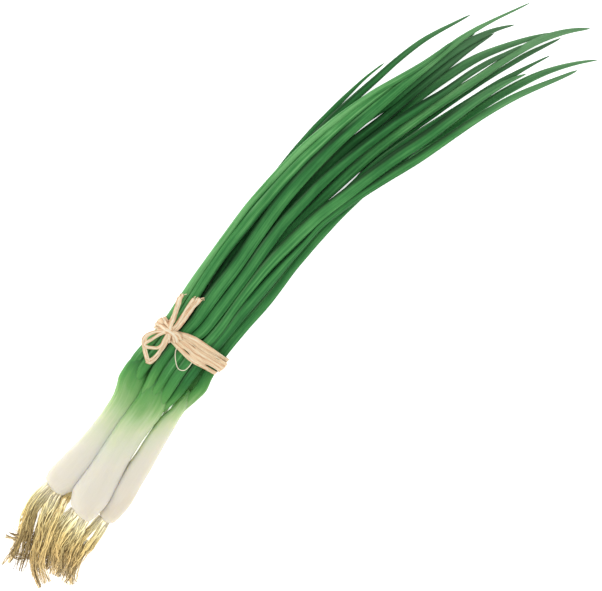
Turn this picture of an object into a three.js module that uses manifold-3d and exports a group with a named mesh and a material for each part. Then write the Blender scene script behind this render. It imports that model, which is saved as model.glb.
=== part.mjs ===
// A bunch of three spring onions tied with raffia, lying on a surface.
// Millimetres, +Z up. +X runs from the roots to the leaf tips and +Y across the bunch.
// The surface that the bunch lies on is z = 0.
import * as THREE from "three";
import { mergeVertices } from "three/addons/utils/BufferGeometryUtils.js";
import Module from "manifold-3d";

const wasm = await Module();
wasm.setup();

const GAP = 0.3; // clear space kept between pieces that touch
const PRESSED = 0.25; // how far a leaf that rests on the surface is flattened there
const MIDDLE = [-0.1, -0.67]; // middle of the bunch's footprint, in the x and y of the routes below

const LEAF_SIDES = 8;
const LEAF_STEPS = 24;
const LEAF_THICKNESS = { perWidth: 0.5, more: 1.2, least: 0.8, most: 4.2 };
const LEAF_TIP_HEIGHT = 1.1; // the most that a leaf's thickness is, in its own widths
const LEAVES_DOWN_AT = -30; // x from which the lowest leaves lie on the surface

const STEM_SIDES = 20;
const STEM_STEPS = 24;

const ROOT_SIDES = 3;
const ROOT_STEPS = 6;
const ROOT_THICK = [2.6, 1.3]; // at the plate and at the tip
const ROOT_SHORTEST = 0.8; // of its lock's length
const LOCK_FLATNESS = 0.6; // a lock's height over its width
const PLATE = { depth: 4.4, sides: 10, steps: 6 };

const BAND_THICK = 0.9;
const BAND_STRANDS = 4;
const BAND_GROOVE = 0.5;
const BAND_INSIDE_POINTS = 3; // of its section, along the side that faces the leaves
const STRIP_THICK = 1;
const STRIP_STEPS = 2; // for each point of its route

const MERGE_WITHIN = 1e-4; // corners nearer than this are one
const RANDOM = { times: 1664525, plus: 1013904223, range: 2 ** 32 }; // a linear congruential generator

const LEAF_GREEN = { color: 0x3c8a48, roughness: 0.45, metalness: 0 };
const STEM_WHITE = { color: 0xdfe3cf, roughness: 0.5, metalness: 0 };
const ROOT_STRAW = { color: 0xb79a5c, roughness: 0.85, metalness: 0 };
const RAFFIA_BEIGE = { color: 0xe6c49c, roughness: 0.8, metalness: 0 };

// Height of the middle of a leaf in each layer of the bunch, as [x, z] pairs from the neck to the tips.
const LAYERS = {
  bottom: [[-118, 5], [-95, 3.6], [-67, 4.3], [-40, 2.6], [0, 1.9], [250, 1.2]],
  middle: [[-118, 9], [-95, 9], [-67, 9.3], [-30, 7.4], [40, 6.6], [120, 6], [180, 4.8], [250, 3]],
  top: [
    [-118, 13.2], [-95, 14.3], [-67, 14.2], [-30, 12.4], [40, 11.6], [120, 10.6], [180, 8.2],
    [250, 5.4],
  ],
};

// Each leaf's layer and its route from the neck to the tip: [x, y, width, height above its layer].
const LEAVES = {
  leaf_a1: {
    layer: "top",
    route: [
      [-113, 17.6, 4.4, -3.2], [-106, 20.7, 6.4, -3.2], [-95, 22.4, 6.6, -3.4], [-67, 25.1, 5.6, -3.7],
      [-45, 29.8, 5.2, -2.6], [-15, 35.3, 4.2, -1], [20, 40.4, 4, 0.5], [45, 42.1, 4.2, 0.8],
      [65, 42.3, 4.2, 1], [85, 41.5, 4.3, 1.2], [105, 39.3, 3.8, 1.6], [120, 36.6, 3.7, 2.1],
      [134, 33.2, 3.9, 2.6], [145, 30, 3.8, 3.1], [157, 27.2, 3, 3.5], [168, 25.4, 2.2, 3.6],
      [180, 24.2, 1, 3.6],
    ],
  },
  leaf_a2: {
    layer: "top",
    route: [
      [-110, 12.4, 4, -1.8], [-103, 14.6, 5.4, -0.8], [-95, 15.8, 6, 0], [-67, 19.3, 5.7, 0],
      [-45, 24.2, 5.8, 0.2], [-15, 30.6, 6, 0.4], [10, 33.4, 6.6, 0.8], [25, 35, 6.8, 1],
      [45, 36.4, 6.4, 1.2], [65, 36.9, 6, 1.2], [85, 36.3, 5.4, 1.2], [105, 34.8, 5, 1],
      [120, 32.9, 3.9, 0.8], [134, 30.6, 2.4, 0.8], [144, 28.9, 1.4, 0.8], [152, 27.6, 0.8, 0.8],
    ],
  },
  leaf_a3: {
    layer: "middle",
    route: [
      [-99, 16.6, 3, -2.1], [-92, 17.2, 4.4, -1.2], [-82, 18, 5, -0.3], [-67, 18.5, 5.5, 0],
      [-45, 23.6, 5.2, 0], [-15, 31.2, 5, 0], [20, 36.6, 4.8, 0], [60, 41, 4.6, 0.3],
      [90, 42.3, 4.4, 0.6], [120, 41.1, 4.4, 1], [150, 39.3, 3.8, 1.6], [170, 36.4, 3, 2],
      [188, 31.1, 1.9, 2], [201, 27, 0.9, 1.6],
    ],
  },
  leaf_a4: {
    layer: "middle",
    route: [
      [-97, 12, 2.4, 0], [-88, 12, 5, 0], [-67, 12.3, 5.5, 0], [-45, 17.4, 5.4, 0], [-15, 25.6, 5.2, 0],
      [20, 30.4, 5, 0], [60, 29.8, 4.4, 0], [95, 28.7, 3.8, 0], [108, 27.2, 3.8, 0], [120, 24.3, 4, 0],
      [135, 22.8, 4.2, 0.3], [150, 21.5, 4.4, 0.6], [165, 19.8, 4.5, 0.8], [180, 17.9, 5, 1.2],
      [195, 13.3, 4, 1.2], [206, 8.9, 2.4, 1.2], [216, 3, 1.1, 0.8],
    ],
  },
  leaf_a5: {
    layer: "bottom",
    route: [
      [-110, 14, 2.2, 0], [-96, 15.2, 5, 0], [-67, 15.6, 5.5, 0], [-45, 21.6, 5.2, 0],
      [-15, 31.4, 5, 0], [20, 38.2, 4.8, 0], [50, 42.6, 4.5, 0], [80, 45.7, 4, 0], [105, 46.3, 2.9, 0],
      [125, 46.1, 1.5, 0], [142, 44, 0.9, 0],
    ],
  },
  leaf_a6: {
    layer: "bottom",
    route: [
      [-98, 8.6, 2.4, 0], [-86, 9, 5.2, 0], [-67, 9.6, 5.5, 0], [-45, 14.6, 5.4, 0],
      [-15, 23.8, 5.2, 0], [20, 30.4, 5, 0], [60, 31.6, 4.8, 0], [100, 31, 4.2, 0], [125, 28.4, 3.8, 0],
      [145, 25.4, 3.2, 0], [170, 21.2, 2.4, 0], [195, 17.4, 0.9, 0],
    ],
  },
  leaf_b1: {
    layer: "top",
    route: [
      [-112, 1.6, 4, 1.2], [-105, 4.6, 5.4, 1.2], [-95, 8.8, 6.2, 0.8], [-67, 13.1, 5.7, 0.6],
      [-57, 12.9, 6.6, 0.8], [-45, 14.8, 7.8, 1], [-35, 17, 8.6, 1.1], [-15, 19.2, 7.8, 1.2],
      [5, 23, 8, 1.3], [25, 26.7, 8, 1.4], [45, 29, 7.6, 1.4], [65, 29.8, 7.2, 1.4], [85, 29.6, 7, 1.3],
      [105, 28.6, 6.7, 1.2], [120, 27.4, 6.4, 1.1], [134, 26.3, 5.9, 1], [145, 25.2, 5.5, 1],
      [157, 24, 5, 0.9], [170, 22.8, 4.8, 0.8], [190, 20, 3.4, 0.6], [205, 15.6, 2, 0.6],
      [220, 10.4, 1.4, 0.4], [232, 6.3, 0.9, 0.4],
    ],
  },
  leaf_b2: {
    layer: "top",
    route: [
      [-107, -1.8, 4.2, 2], [-102, 0, 5.2, 1.6], [-95, 2.2, 6, 1], [-67, 6.5, 5.7, 0.8],
      [-57, 5.4, 6.4, 0.7], [-45, 6.6, 7, 0.6], [-35, 8.2, 7, 0.5], [-15, 11.1, 7, 0.4],
      [5, 14.6, 7.2, 0.3], [25, 17.6, 7, 0.2], [45, 18.4, 6.8, 0], [65, 18.4, 6.4, 0],
      [85, 17.2, 5.9, 0], [105, 14.9, 5.8, 0], [120, 12.6, 5.8, 0], [133, 9.9, 5.8, 0],
      [144, 7.4, 5.2, 0], [154, 5, 4.2, 0], [165, 3, 3.6, -0.1], [180, 0.4, 3.6, -0.2],
      [192, -3.2, 2.6, 0], [202, -6.4, 1.8, 0.2], [210, -8.8, 1, 0.4],
    ],
  },
  leaf_b3: {
    layer: "top",
    route: [
      [-110, -8.4, 4, 0.8], [-103, -6.6, 5.6, 0.8], [-95, -4.6, 6.2, 0.8], [-67, 0.2, 5.6, 0.6],
      [-57, -1.6, 5.4, 0.6], [-45, -0.4, 5.2, 0.7], [-35, 1.4, 4.8, 0.8], [-15, 4.1, 5.6, 0.8],
      [5, 6.2, 7, 0.9], [25, 6, 7.2, 1], [45, 5.6, 7, 1], [65, 2.9, 7, 1], [85, 0.3, 7.2, 1],
      [105, -2.6, 7.4, 0.9], [120, -5.8, 7.4, 0.8], [135, -8.4, 7, 0.7], [150, -10.2, 6.6, 0.6],
      [165, -12.7, 5.4, 0.5], [180, -16.1, 3.6, 0.4], [190, -19.6, 2.6, 0.4], [199, -23.4, 1, 0.4],
    ],
  },
  leaf_b4: {
    layer: "middle",
    route: [
      [-101, 4.4, 2.2, 0.6], [-90, 5.6, 5, 0.2], [-67, 6.2, 5.6, 0], [-45, 10.6, 5.4, 0],
      [-15, 17.2, 5.6, 0], [20, 22.4, 5.4, 0], [50, 23.6, 5.2, 0], [80, 23.4, 5.2, 0],
      [94, 22.7, 5.6, 0], [105, 21.2, 5.4, 0], [120, 19.3, 5.3, 0], [135, 18, 4.9, 0.1],
      [150, 16.8, 4.6, 0.3], [165, 15.3, 4.2, 0.6], [180, 13.5, 3.3, 0.4], [192, 11.3, 2, -0.2],
      [203, 8.8, 1, -0.8],
    ],
  },
  leaf_b5: {
    layer: "middle",
    route: [
      [-98, -2.4, 2.2, 0.6], [-88, -1.2, 5, 0.2], [-67, 0.2, 5.6, 0], [-40, 4.4, 5.4, 0],
      [-15, 8.6, 5.2, 0], [20, 12, 5, 0], [45, 12, 5.2, 0], [65, 11.1, 6.4, 0], [85, 10.3, 6.8, 0],
      [105, 8.8, 6.4, 0], [120, 6.6, 6.2, 0.1], [135, 4.1, 5.8, 0.2], [150, 1.3, 5.8, 0.3],
      [165, -1.6, 5.8, 0.4], [174, -3.3, 5.1, 0.5], [184, -5.5, 4.5, 0.7], [195, -7.6, 4.4, 0.9],
      [210, -11, 4.2, 1.2], [224, -15.8, 4.2, 1.4], [238, -23.6, 3.2, 1.2], [247.5, -31.4, 1.6, 0.8],
    ],
  },
  leaf_b6: {
    layer: "bottom",
    route: [
      [-97, 0.8, 2.2, 0.6], [-86, 2.2, 5, 0.2], [-67, 3.4, 5.5, 0], [-40, 9.4, 5.2, 0],
      [-10, 14.4, 5, 0], [30, 16.8, 4.8, 0], [70, 16, 5.2, 0], [105, 15.8, 5, 0], [120, 15.6, 4.8, 0],
      [135, 14.2, 4.6, 0], [150, 12.6, 5.2, 0], [165, 10.3, 6.2, 0], [173, 8.8, 6.2, 0],
      [182, 6.1, 5.3, 0], [195, 1.2, 4.4, 0], [212, -7, 3.2, 0], [222, -12.4, 2.4, 0],
      [230, -17.2, 1.1, 0],
    ],
  },
  leaf_b7: {
    layer: "top",
    route: [
      [-116, -9.8, 2.2, -2], [-110, -11.6, 2.6, -2.4], [-103, -11.6, 3.6, -2.2], [-95, -11, 5.2, -1.4],
      [-67, -6.2, 5.6, -0.4], [-57, -7.3, 5, -0.3], [-45, -5.8, 5, -0.2], [-35, -4.2, 5.6, 0],
      [-15, -2.4, 6, 0], [5, -1.4, 5, 0], [15, -0.9, 4, 0], [25, -0.7, 3.2, 0], [45, 0.1, 3.2, 0],
      [65, -2.9, 3.6, 0], [85, -6.2, 4.6, 0], [105, -10.7, 5.4, -0.3], [120, -14.2, 5.4, -0.6],
      [140, -17.9, 5.1, -1], [165, -23, 4.6, -1.6], [180, -27.1, 4.2, -1.9], [195, -32.5, 3.5, -2.2],
      [212, -39.6, 2.5, -2.4], [223.6, -44.1, 1.4, -2.4],
    ],
  },
  leaf_c1: {
    layer: "middle",
    route: [
      [-100, -19.4, 3.6, -2.6], [-91, -19, 5.4, -1.6], [-80, -18.3, 6.8, -1], [-67, -14.2, 5.8, -0.8],
      [-45, -10.7, 6.2, -0.6], [-15, -9.2, 5.8, -0.4], [15, -5.6, 4.8, -0.2], [45, -3.4, 4.8, 0],
      [75, -3.8, 4.4, 0], [105, -6.2, 3.6, 0], [138, -10.4, 0.9, 0],
    ],
  },
  leaf_c2: {
    layer: "middle",
    route: [
      [-97, -10.4, 2.2, -0.4], [-87, -8.8, 4.8, 0], [-67, -5.9, 5.4, 0], [-40, -2.4, 5.2, 0],
      [-10, 0.2, 5, 0], [30, 3.4, 4.6, 0], [70, 3.6, 4.4, 0], [100, 2.4, 4.2, 0], [130, -2.7, 3.6, 0],
      [160, -9.5, 3.4, 0.4], [180, -14.6, 4.2, 0.6], [198, -19.4, 2.4, 0.8], [218, -25.7, 0.9, 0.8],
    ],
  },
  leaf_c3: {
    layer: "bottom",
    route: [
      [-96, -13.4, 2.2, 0], [-86, -8.2, 4.6, 0], [-67, -2.8, 5.4, 0], [-40, 3.4, 5.2, 0],
      [-10, 7.6, 5, 0], [20, 8.6, 4.8, 0], [36, 6.8, 4.4, 0], [52, 4.4, 4, 0], [72, 3.8, 4, 0],
      [85, 4.3, 4, 0], [95, 5.8, 4.2, 0], [104, 6, 4.2, 0], [130, 1, 3, 0], [165, -5.1, 2.4, 0],
      [190, -10.5, 2.8, 0], [208, -14.9, 3, 0], [231, -22.8, 1, 0],
    ],
  },
  leaf_c4: {
    layer: "bottom",
    route: [
      [-98, -17.2, 2.2, -0.6], [-86, -14, 4.8, 0], [-67, -8.9, 5.4, 0], [-40, -6.4, 5.2, 0],
      [-8, -4.8, 5, 0], [40, -0.8, 4.6, 0], [75, -1.6, 4.4, 0], [110, -6.8, 4.4, 0],
      [145, -14.3, 4.8, 0], [165, -17.9, 4.9, 0], [180, -21.2, 5.2, 0], [195, -25.6, 4.8, 0],
      [205, -29.2, 4.1, 0], [213, -32.8, 3.4, 0], [222, -37.8, 2.7, 0], [230, -42.9, 2.1, 0],
      [238, -48.9, 1, 0],
    ],
  },
};

// Each stem from the bulb's root end to the end of the neck: [x, y, z, width, height].
const STEMS = {
  stem_a: [
    [-190.4, 2.6, 8.6, 9.5, 9.5], [-189.2, 2.7, 8.6, 14.2, 14.2], [-186.5, 2.8, 8.4, 16.8, 16.6],
    [-182, 2.8, 8.3, 18.2, 17.6], [-175, 2.9, 8.45, 18.5, 17.9], [-165, 3.4, 8.1, 17.4, 17.2],
    [-155, 4.5, 7.4, 15.6, 15.4], [-145, 5.8, 7.6, 14.4, 13.8], [-135, 7.5, 7.8, 13.4, 12.8],
    [-125, 9.5, 8.2, 13.6, 12], [-118, 11.1, 8.6, 15, 11.6], [-112, 13.6, 8.8, 17.2, 11.4],
    [-106, 15.7, 8.8, 17, 11], [-100, 17.4, 8.6, 15.2, 10], [-96, 18.2, 8.3, 12.4, 8],
    [-94, 18.5, 8.2, 10, 6.4],
  ],
  stem_b: [
    [-189.8, -20, 13.4, 10, 10], [-188.4, -19.8, 13.4, 15.4, 15.4], [-185, -18.9, 13.4, 19, 18.8],
    [-180, -17.8, 13.4, 21, 20.2], [-174, -16.9, 13.3, 21.2, 20.2], [-166, -15.3, 13, 20.2, 19.2],
    [-158, -13.3, 12.6, 19, 18], [-150, -11.2, 12.4, 17.9, 16.8], [-140, -9, 12.4, 17.4, 15.6],
    [-130, -6.8, 12.4, 17.2, 14.4], [-121, -5.4, 12.2, 17.4, 13.4], [-112, -4, 11.8, 18, 12.6],
    [-104, -1.2, 11.4, 18.2, 11.6], [-97.5, 1.2, 11, 16.4, 9.8], [-94, 1.9, 10.8, 13, 7.4],
  ],
  stem_c: [
    [-181.8, -33.4, 6.2, 7, 7], [-180.2, -33.4, 6.2, 10.6, 10.6], [-176.5, -33.2, 6, 12.8, 12.8],
    [-170, -32.4, 6.3, 14, 13.8], [-163, -31, 6.9, 15, 14.8], [-150, -27.8, 6.7, 14.2, 13.9],
    [-140, -25.5, 6.5, 13.6, 13.2], [-130, -23.1, 6.5, 12.8, 12.4], [-120, -20.8, 6.6, 12, 11.4],
    [-112, -19.2, 6.6, 10.6, 9.8], [-104, -18.2, 6.4, 8.6, 8], [-97, -17.8, 6.2, 6.6, 6.2],
    [-91, -18.1, 6.1, 3.4, 3.4],
  ],
};

// Each tuft of roots: the middle of the plate that it grows from, the plate's width, a random seed and
// the tuft's locks, each with its middle line, how far its strands stand to each side of that line at
// the plate and at the tip, and its number of strands.
const ROOTS = {
  roots_a: {
    plate: [-190.4, 2, 8.4],
    width: 12.4,
    seed: 11,
    locks: [
      {
        route: [
          [-193, 6, 10.3], [-204, 6.6, 10], [-213, 4.2, 8.8], [-222, -0.8, 7], [-232, -6.4, 5.6],
          [-247.6, -8.4, 2.2],
        ],
        spread: [0.6, 0.2],
        strands: 2,
      },
      {
        route: [
          [-193, 4.6, 8.4], [-206, 4, 8], [-220, -1.6, 7.4], [-231, -7, 6.4], [-236.6, -9.6, 4.8],
          [-231.4, -16.2, 3],
        ],
        spread: [0.6, 0.4],
        strands: 1,
      },
      {
        route: [
          [-193, 2.4, 8], [-205, 2, 7.8], [-216, -3, 7.6], [-228, -10.6, 6.6], [-242.6, -18.8, 2],
        ],
        spread: [1, 0.6],
        strands: 2,
      },
      {
        route: [
          [-193, -1.2, 7.5], [-206, -5.4, 8], [-220, -13.6, 8.4], [-232.5, -22.4, 7], [-240.4, -35.4, 2],
        ],
        spread: [2.2, 0.8],
        strands: 3,
      },
      {
        route: [
          [-193, -3.2, 7], [-205, -9.4, 8], [-219, -18.4, 8.4], [-230, -26, 6.6], [-235.8, -36.2, 2],
        ],
        spread: [1.6, 0.8],
        strands: 3,
      },
      {
        route: [
          [-193, 3, 7], [-210, 1.4, 7], [-223, -4.4, 7.2], [-228.6, -3.6, 7], [-231.4, 2.2, 6.4],
        ],
        spread: [0.6, 0.6],
        strands: 1,
      },
    ],
  },
  roots_b: {
    plate: [-189.8, -20, 12.6],
    width: 13.4,
    seed: 23,
    locks: [
      {
        route: [
          [-192.4, -16.4, 12.4], [-204, -18.4, 9.4], [-217, -22.8, 5.8], [-230, -29.6, 3],
        ],
        spread: [1.8, 1],
        strands: 3,
      },
      {
        route: [
          [-192.4, -19.6, 12.4], [-206, -22, 8.6], [-219, -28.4, 5], [-229.2, -35.2, 2.8],
        ],
        spread: [1.8, 1],
        strands: 3,
      },
      {
        route: [
          [-192.4, -22.8, 11.8], [-206, -27, 8], [-219, -32, 4.8], [-228.4, -37.8, 2.6],
        ],
        spread: [1.8, 1],
        strands: 3,
      },
      {
        route: [
          [-192.4, -24.8, 10.6], [-206, -30.4, 7], [-220, -35.6, 4.4], [-225.4, -37, 3.4],
        ],
        spread: [1, 1],
        strands: 2,
      },
    ],
  },
  roots_c: {
    plate: [-181.6, -33.5, 6.2],
    width: 9,
    seed: 37,
    locks: [
      {
        route: [
          [-184.2, -31.4, 7], [-198, -32.6, 5], [-212, -35.2, 3], [-224, -42.4, 1.6],
        ],
        spread: [1.4, 1],
        strands: 3,
      },
      {
        route: [
          [-184.2, -34, 6], [-198, -36.6, 4], [-212, -39.2, 2.4], [-225.6, -48.4, 1],
        ],
        spread: [1.4, 0.6],
        strands: 3,
      },
      {
        route: [
          [-184.2, -36, 5], [-196, -39.6, 3.6], [-210, -40.8, 2.4], [-224, -45.6, 1.2],
        ],
        spread: [0.6, 0.4],
        strands: 1,
      },
      {
        route: [
          [-184.2, -35, 5.6], [-202, -38, 3.4], [-216, -40.4, 2.2], [-228, -43.8, 1.4],
        ],
        spread: [1, 0.6],
        strands: 2,
      },
    ],
  },
};

// The raffia band round the leaves: an oval about the line x = 0. Its two edges on the way over the top
// are [y, x, x]; underneath, they run straight between their ends.
const BAND = { y: 5.2, z: 9.5, width: 48, height: 17.3, squareness: 2.6, sides: 40 };
const BAND_EDGES = [
  [-19, -70.5, -57.2], [-12, -72.2, -58.3], [-5, -74.5, -59.5], [0, -75.5, -60.4], [5, -75.3, -61.3],
  [10, -75.2, -63.2], [15, -74.6, -66], [18.5, -73, -66.8], [21, -72.8, -66.8], [24.5, -74.8, -66.2],
  [29.4, -77, -64.8],
];

const KNOT = { at: [-70, 19.6, 19.8], size: [6, 6.4, 4.8], sides: 12, steps: 8 };

// The bow's strips of raffia: [x, y, z] routes and widths. The last three wind round the knot.
const BOW = [
  {
    width: 3,
    route: [
      [-70.5, 20.6, 20.6], [-76, 25.2, 21.2], [-80.4, 27.3, 21.2], [-84.4, 27.6, 20.8],
      [-88.2, 25.6, 20.4], [-91.4, 21.8, 19.8], [-93.6, 17.6, 19.5], [-93.2, 14.9, 19.2],
      [-89.6, 14.5, 19.2], [-79, 15.8, 19.8], [-70.5, 19.4, 20.6],
    ],
  },
  {
    width: 2,
    route: [
      [-70.5, 20.6, 21.8], [-78, 23.4, 22.2], [-84.6, 25, 21.8], [-87.2, 24.2, 21.4], [-86.2, 21.4, 21.2],
      [-83, 18, 21], [-79, 17.8, 21.3], [-70.5, 20, 21.6],
    ],
  },
  {
    width: 3.2,
    route: [
      [-70, 20.6, 21.2], [-64, 23.6, 21.6], [-57, 27, 20.2], [-49.8, 30.8, 18],
    ],
  },
  {
    width: 2.2,
    route: [
      [-70, 20.2, 20.6], [-64, 20.4, 21.5], [-54, 22.4, 20.2], [-45.2, 24, 19.2],
    ],
  },
  {
    width: 2.6,
    route: [
      [-70, 19.4, 20.2], [-65, 18.5, 21], [-56, 19.6, 20.2], [-42.6, 21, 18.8],
    ],
  },
  {
    width: 3.2,
    route: [
      [-73.4, 24.2, 17.6], [-71.8, 22.2, 20.6], [-69.8, 19.4, 22], [-67.8, 15.6, 21], [-68, 11.4, 18.8],
    ],
  },
  {
    width: 2.8,
    route: [
      [-74, 17.4, 18.8], [-71.2, 19, 21.6], [-68.8, 20.6, 22], [-65.8, 23.2, 19.4],
    ],
  },
  {
    width: 3.2,
    route: [
      [-70.8, 25.6, 17], [-70.6, 22.6, 21], [-70, 19.6, 22.4], [-69.8, 16.4, 21], [-70.2, 13.6, 18.8],
    ],
  },
];

function curveOf(points) {
  const knots = points.map((point) => new THREE.Vector3(...point));
  return new THREE.CatmullRomCurve3(knots, false, "catmullrom");
}

function shareOf(value, low, high) {
  return (value - low) / (high - low);
}

// The values at a place in a table of rows that start with their place, passing from row to row by ease.
function valuesAt(rows, at, ease) {
  const next = rows.findIndex(([place]) => place > at);
  if (next < 1) return rows.at(next).slice(1);
  const [before, after] = [rows[next - 1], rows[next]];
  const share = ease(at, before[0], after[0]);
  return before.slice(1).map((value, i) => THREE.MathUtils.lerp(value, after[i + 1], share));
}

// A closed bar along a path. ringAt(share) gives the ring at a share of the path: its middle and the two
// half axes of its section. Nothing reaches below the surface.
function bar(geometry, ringAt) {
  const position = geometry.attributes.position;
  for (let i = 0; i < position.count; i += 1) {
    const ring = ringAt(0.5 - position.getY(i));
    const point = ring.middle
      .clone()
      .addScaledVector(ring.across, position.getX(i))
      .addScaledVector(ring.up, position.getZ(i));
    position.setXYZ(i, point.x, point.y, Math.max(point.z, 0));
  }
  return geometry;
}

function roundBar(sides, steps, ringAt) {
  return bar(new THREE.CylinderGeometry(1, 1, 1, sides, steps), ringAt);
}

function squareBar(steps, ringAt) {
  return bar(new THREE.CylinderGeometry(Math.SQRT2, Math.SQRT2, 1, 4, steps, false, Math.PI / 4), ringAt);
}

// A bar whose rings all stand square to X, from rows of [x, y, z] and rows of [width, height].
function levelBar(sides, steps, middles, sizes) {
  const path = curveOf(middles);
  const section = curveOf(sizes.map(([width, height]) => [width, height, 0]));
  return roundBar(sides, steps, (share) => {
    const t = path.getUtoTmapping(share);
    const size = section.getPoint(t);
    return {
      middle: path.getPoint(t),
      across: new THREE.Vector3(0, size.x / 2, 0),
      up: new THREE.Vector3(0, 0, size.y / 2),
    };
  });
}

// A ring square to a path, level across, at a share of its length.
function ringAcross(path, share, width, thickness) {
  const along = path.getTangentAt(share);
  const across = new THREE.Vector3(along.y, -along.x, 0).normalize();
  const up = new THREE.Vector3().crossVectors(along, across);
  return {
    middle: path.getPointAt(share),
    across: across.multiplyScalar(width / 2),
    up: up.multiplyScalar(thickness / 2),
  };
}

function leafSize(width) {
  const { perWidth, more, least, most } = LEAF_THICKNESS;
  const thickness = THREE.MathUtils.clamp(perWidth * width + more, least, most);
  return [width, Math.min(thickness, LEAF_TIP_HEIGHT * width)];
}

// A leaf, made larger all round by swell.
function leafGeometry({ layer, route }, swell = 0) {
  const sizes = route.map(([, , width]) => leafSize(width));
  const middles = route.map(([x, y, , rise], i) => {
    const isDown = layer === "bottom" && x > LEAVES_DOWN_AT;
    const [height] = valuesAt(LAYERS[layer], x, THREE.MathUtils.smoothstep);
    return [x, y, isDown ? sizes[i][1] / 2 - PRESSED : height + rise];
  });
  const swollen = sizes.map((size) => size.map((length) => length + 2 * swell));
  return levelBar(LEAF_SIDES, LEAF_STEPS, middles, swollen);
}

function stemGeometry(rows) {
  const middles = rows.map(([x, y, z]) => [x, y, z]);
  const sizes = rows.map(([, , , width, height]) => [width, height]);
  return levelBar(STEM_SIDES, STEM_STEPS, middles, sizes);
}

function solidOf(geometry) {
  const bare = geometry.clone();
  bare.deleteAttribute("normal");
  bare.deleteAttribute("uv");
  const merged = mergeVertices(bare, MERGE_WITHIN);
  return new wasm.Manifold(
    new wasm.Mesh({
      numProp: 3,
      vertProperties: merged.attributes.position.array,
      triVerts: new Uint32Array(merged.index.array),
    }),
  );
}

function geometryOf(solid) {
  const mesh = solid.getMesh();
  return new THREE.BufferGeometry()
    .setAttribute("position", new THREE.BufferAttribute(mesh.vertProperties, 3))
    .setIndex(new THREE.BufferAttribute(mesh.triVerts, 1));
}

function joined(geometries) {
  return geometries.map(solidOf).reduce((whole, piece) => whole.add(piece));
}

// The one body that is left when loose scraps are dropped.
function largestBody(solid) {
  return solid.decompose().reduce((best, body) => (body.volume() > best.volume() ? body : best));
}

// The same run of draws from 0 to 1 every time.
function seededDraws(seed) {
  let state = seed;
  return () => {
    state = (Math.imul(state, RANDOM.times) + RANDOM.plus) >>> 0;
    return state / RANDOM.range;
  };
}

// One root of a lock. The first root of each lock is as long as the lock.
function rootStrand({ route, spread }, isFirst, draw) {
  const lock = curveOf(route);
  const reach = isFirst ? 1 : THREE.MathUtils.lerp(ROOT_SHORTEST, 1, draw());
  const side = 2 * draw() - 1;
  const lift = 2 * draw() - 1;
  const path = curveOf(
    route.map((_, i) => {
      const share = i / (route.length - 1);
      const away = THREE.MathUtils.lerp(...spread, share);
      const point = lock.getPoint(reach * share);
      return [point.x, point.y + side * away, point.z + LOCK_FLATNESS * lift * away];
    }),
  );
  return roundBar(ROOT_SIDES, ROOT_STEPS, (share) => {
    const thick = THREE.MathUtils.lerp(...ROOT_THICK, share);
    return ringAcross(path, share, thick, thick);
  });
}

function rootTuft({ plate, width, seed, locks }) {
  const draw = seededDraws(seed);
  const [x, y, z] = plate;
  const base = new THREE.SphereGeometry(0.5, PLATE.sides, PLATE.steps).rotateZ(Math.PI / 2);
  base.scale(PLATE.depth, width, width).translate(x - PLATE.depth / 2 - GAP, y, z);
  const strands = locks.flatMap((lock) =>
    Array.from({ length: lock.strands }, (_, i) => rootStrand(lock, i === 0, draw)),
  );
  return largestBody(joined([base, ...strands]));
}

// A point of the band's oval at an angle, pushed outwards.
function onOval(angle, out) {
  const power = 2 / BAND.squareness;
  const cos = Math.cos(angle);
  const sin = Math.sin(angle);
  return [
    BAND.y + (BAND.width / 2 + out) * Math.sign(cos) * Math.abs(cos) ** power,
    BAND.z + (BAND.height / 2 + out) * Math.sign(sin) * Math.abs(sin) ** power,
  ];
}

// The band, made larger all round by swell. Its section has a ridge for each strand, parted by grooves.
function bandGeometry(swell = 0) {
  const outsidePoints = BAND_STRANDS * 2 + 1;
  const rows = outsidePoints + BAND_INSIDE_POINTS;
  const geometry = new THREE.TorusGeometry(2, 1, rows, BAND.sides);
  const position = geometry.attributes.position;
  for (let i = 0; i < position.count; i += 1) {
    const column = i % (BAND.sides + 1);
    const row = Math.floor(i / (BAND.sides + 1)) % rows;
    const angle = (-2 * Math.PI * (column % BAND.sides)) / BAND.sides;
    const isOuter = row < outsidePoints;
    const isGroove = isOuter && row % 2 === 0 && row > 0 && row < outsidePoints - 1;
    const out = isOuter ? BAND_THICK - (isGroove ? BAND_GROOVE : 0) + swell : -swell;
    const share = isOuter
      ? shareOf(row, 0, outsidePoints - 1)
      : shareOf(row, rows - 1, outsidePoints);
    const [y, z] = onOval(angle, out);
    const edges = Math.sin(angle) > 0 ? BAND_EDGES : [BAND_EDGES[0], BAND_EDGES.at(-1)];
    const [left, right] = valuesAt(edges, y, shareOf);
    position.setXYZ(i, THREE.MathUtils.lerp(right + swell, left - swell, share), y, Math.max(z, 0));
  }
  return geometry;
}

function stripGeometry({ width, route }) {
  const path = curveOf(route);
  return squareBar(STRIP_STEPS * route.length, (share) => ringAcross(path, share, width, STRIP_THICK));
}

function bowSolid() {
  const knot = new THREE.SphereGeometry(0.5, KNOT.sides, KNOT.steps);
  knot.rotateX(Math.PI / 2).scale(...KNOT.size).translate(...KNOT.at);
  const whole = joined([knot, ...BOW.map(stripGeometry)]);
  return largestBody(whole.subtract(solidOf(bandGeometry(GAP))));
}

function named(name, geometry, look) {
  const mesh = new THREE.Mesh(geometry, new THREE.MeshStandardMaterial(look));
  mesh.name = name;
  return mesh;
}

const bunch = new THREE.Group();
bunch.name = "spring_onion_bunch";
bunch.position.set(-MIDDLE[0], -MIDDLE[1], 0);

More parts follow.
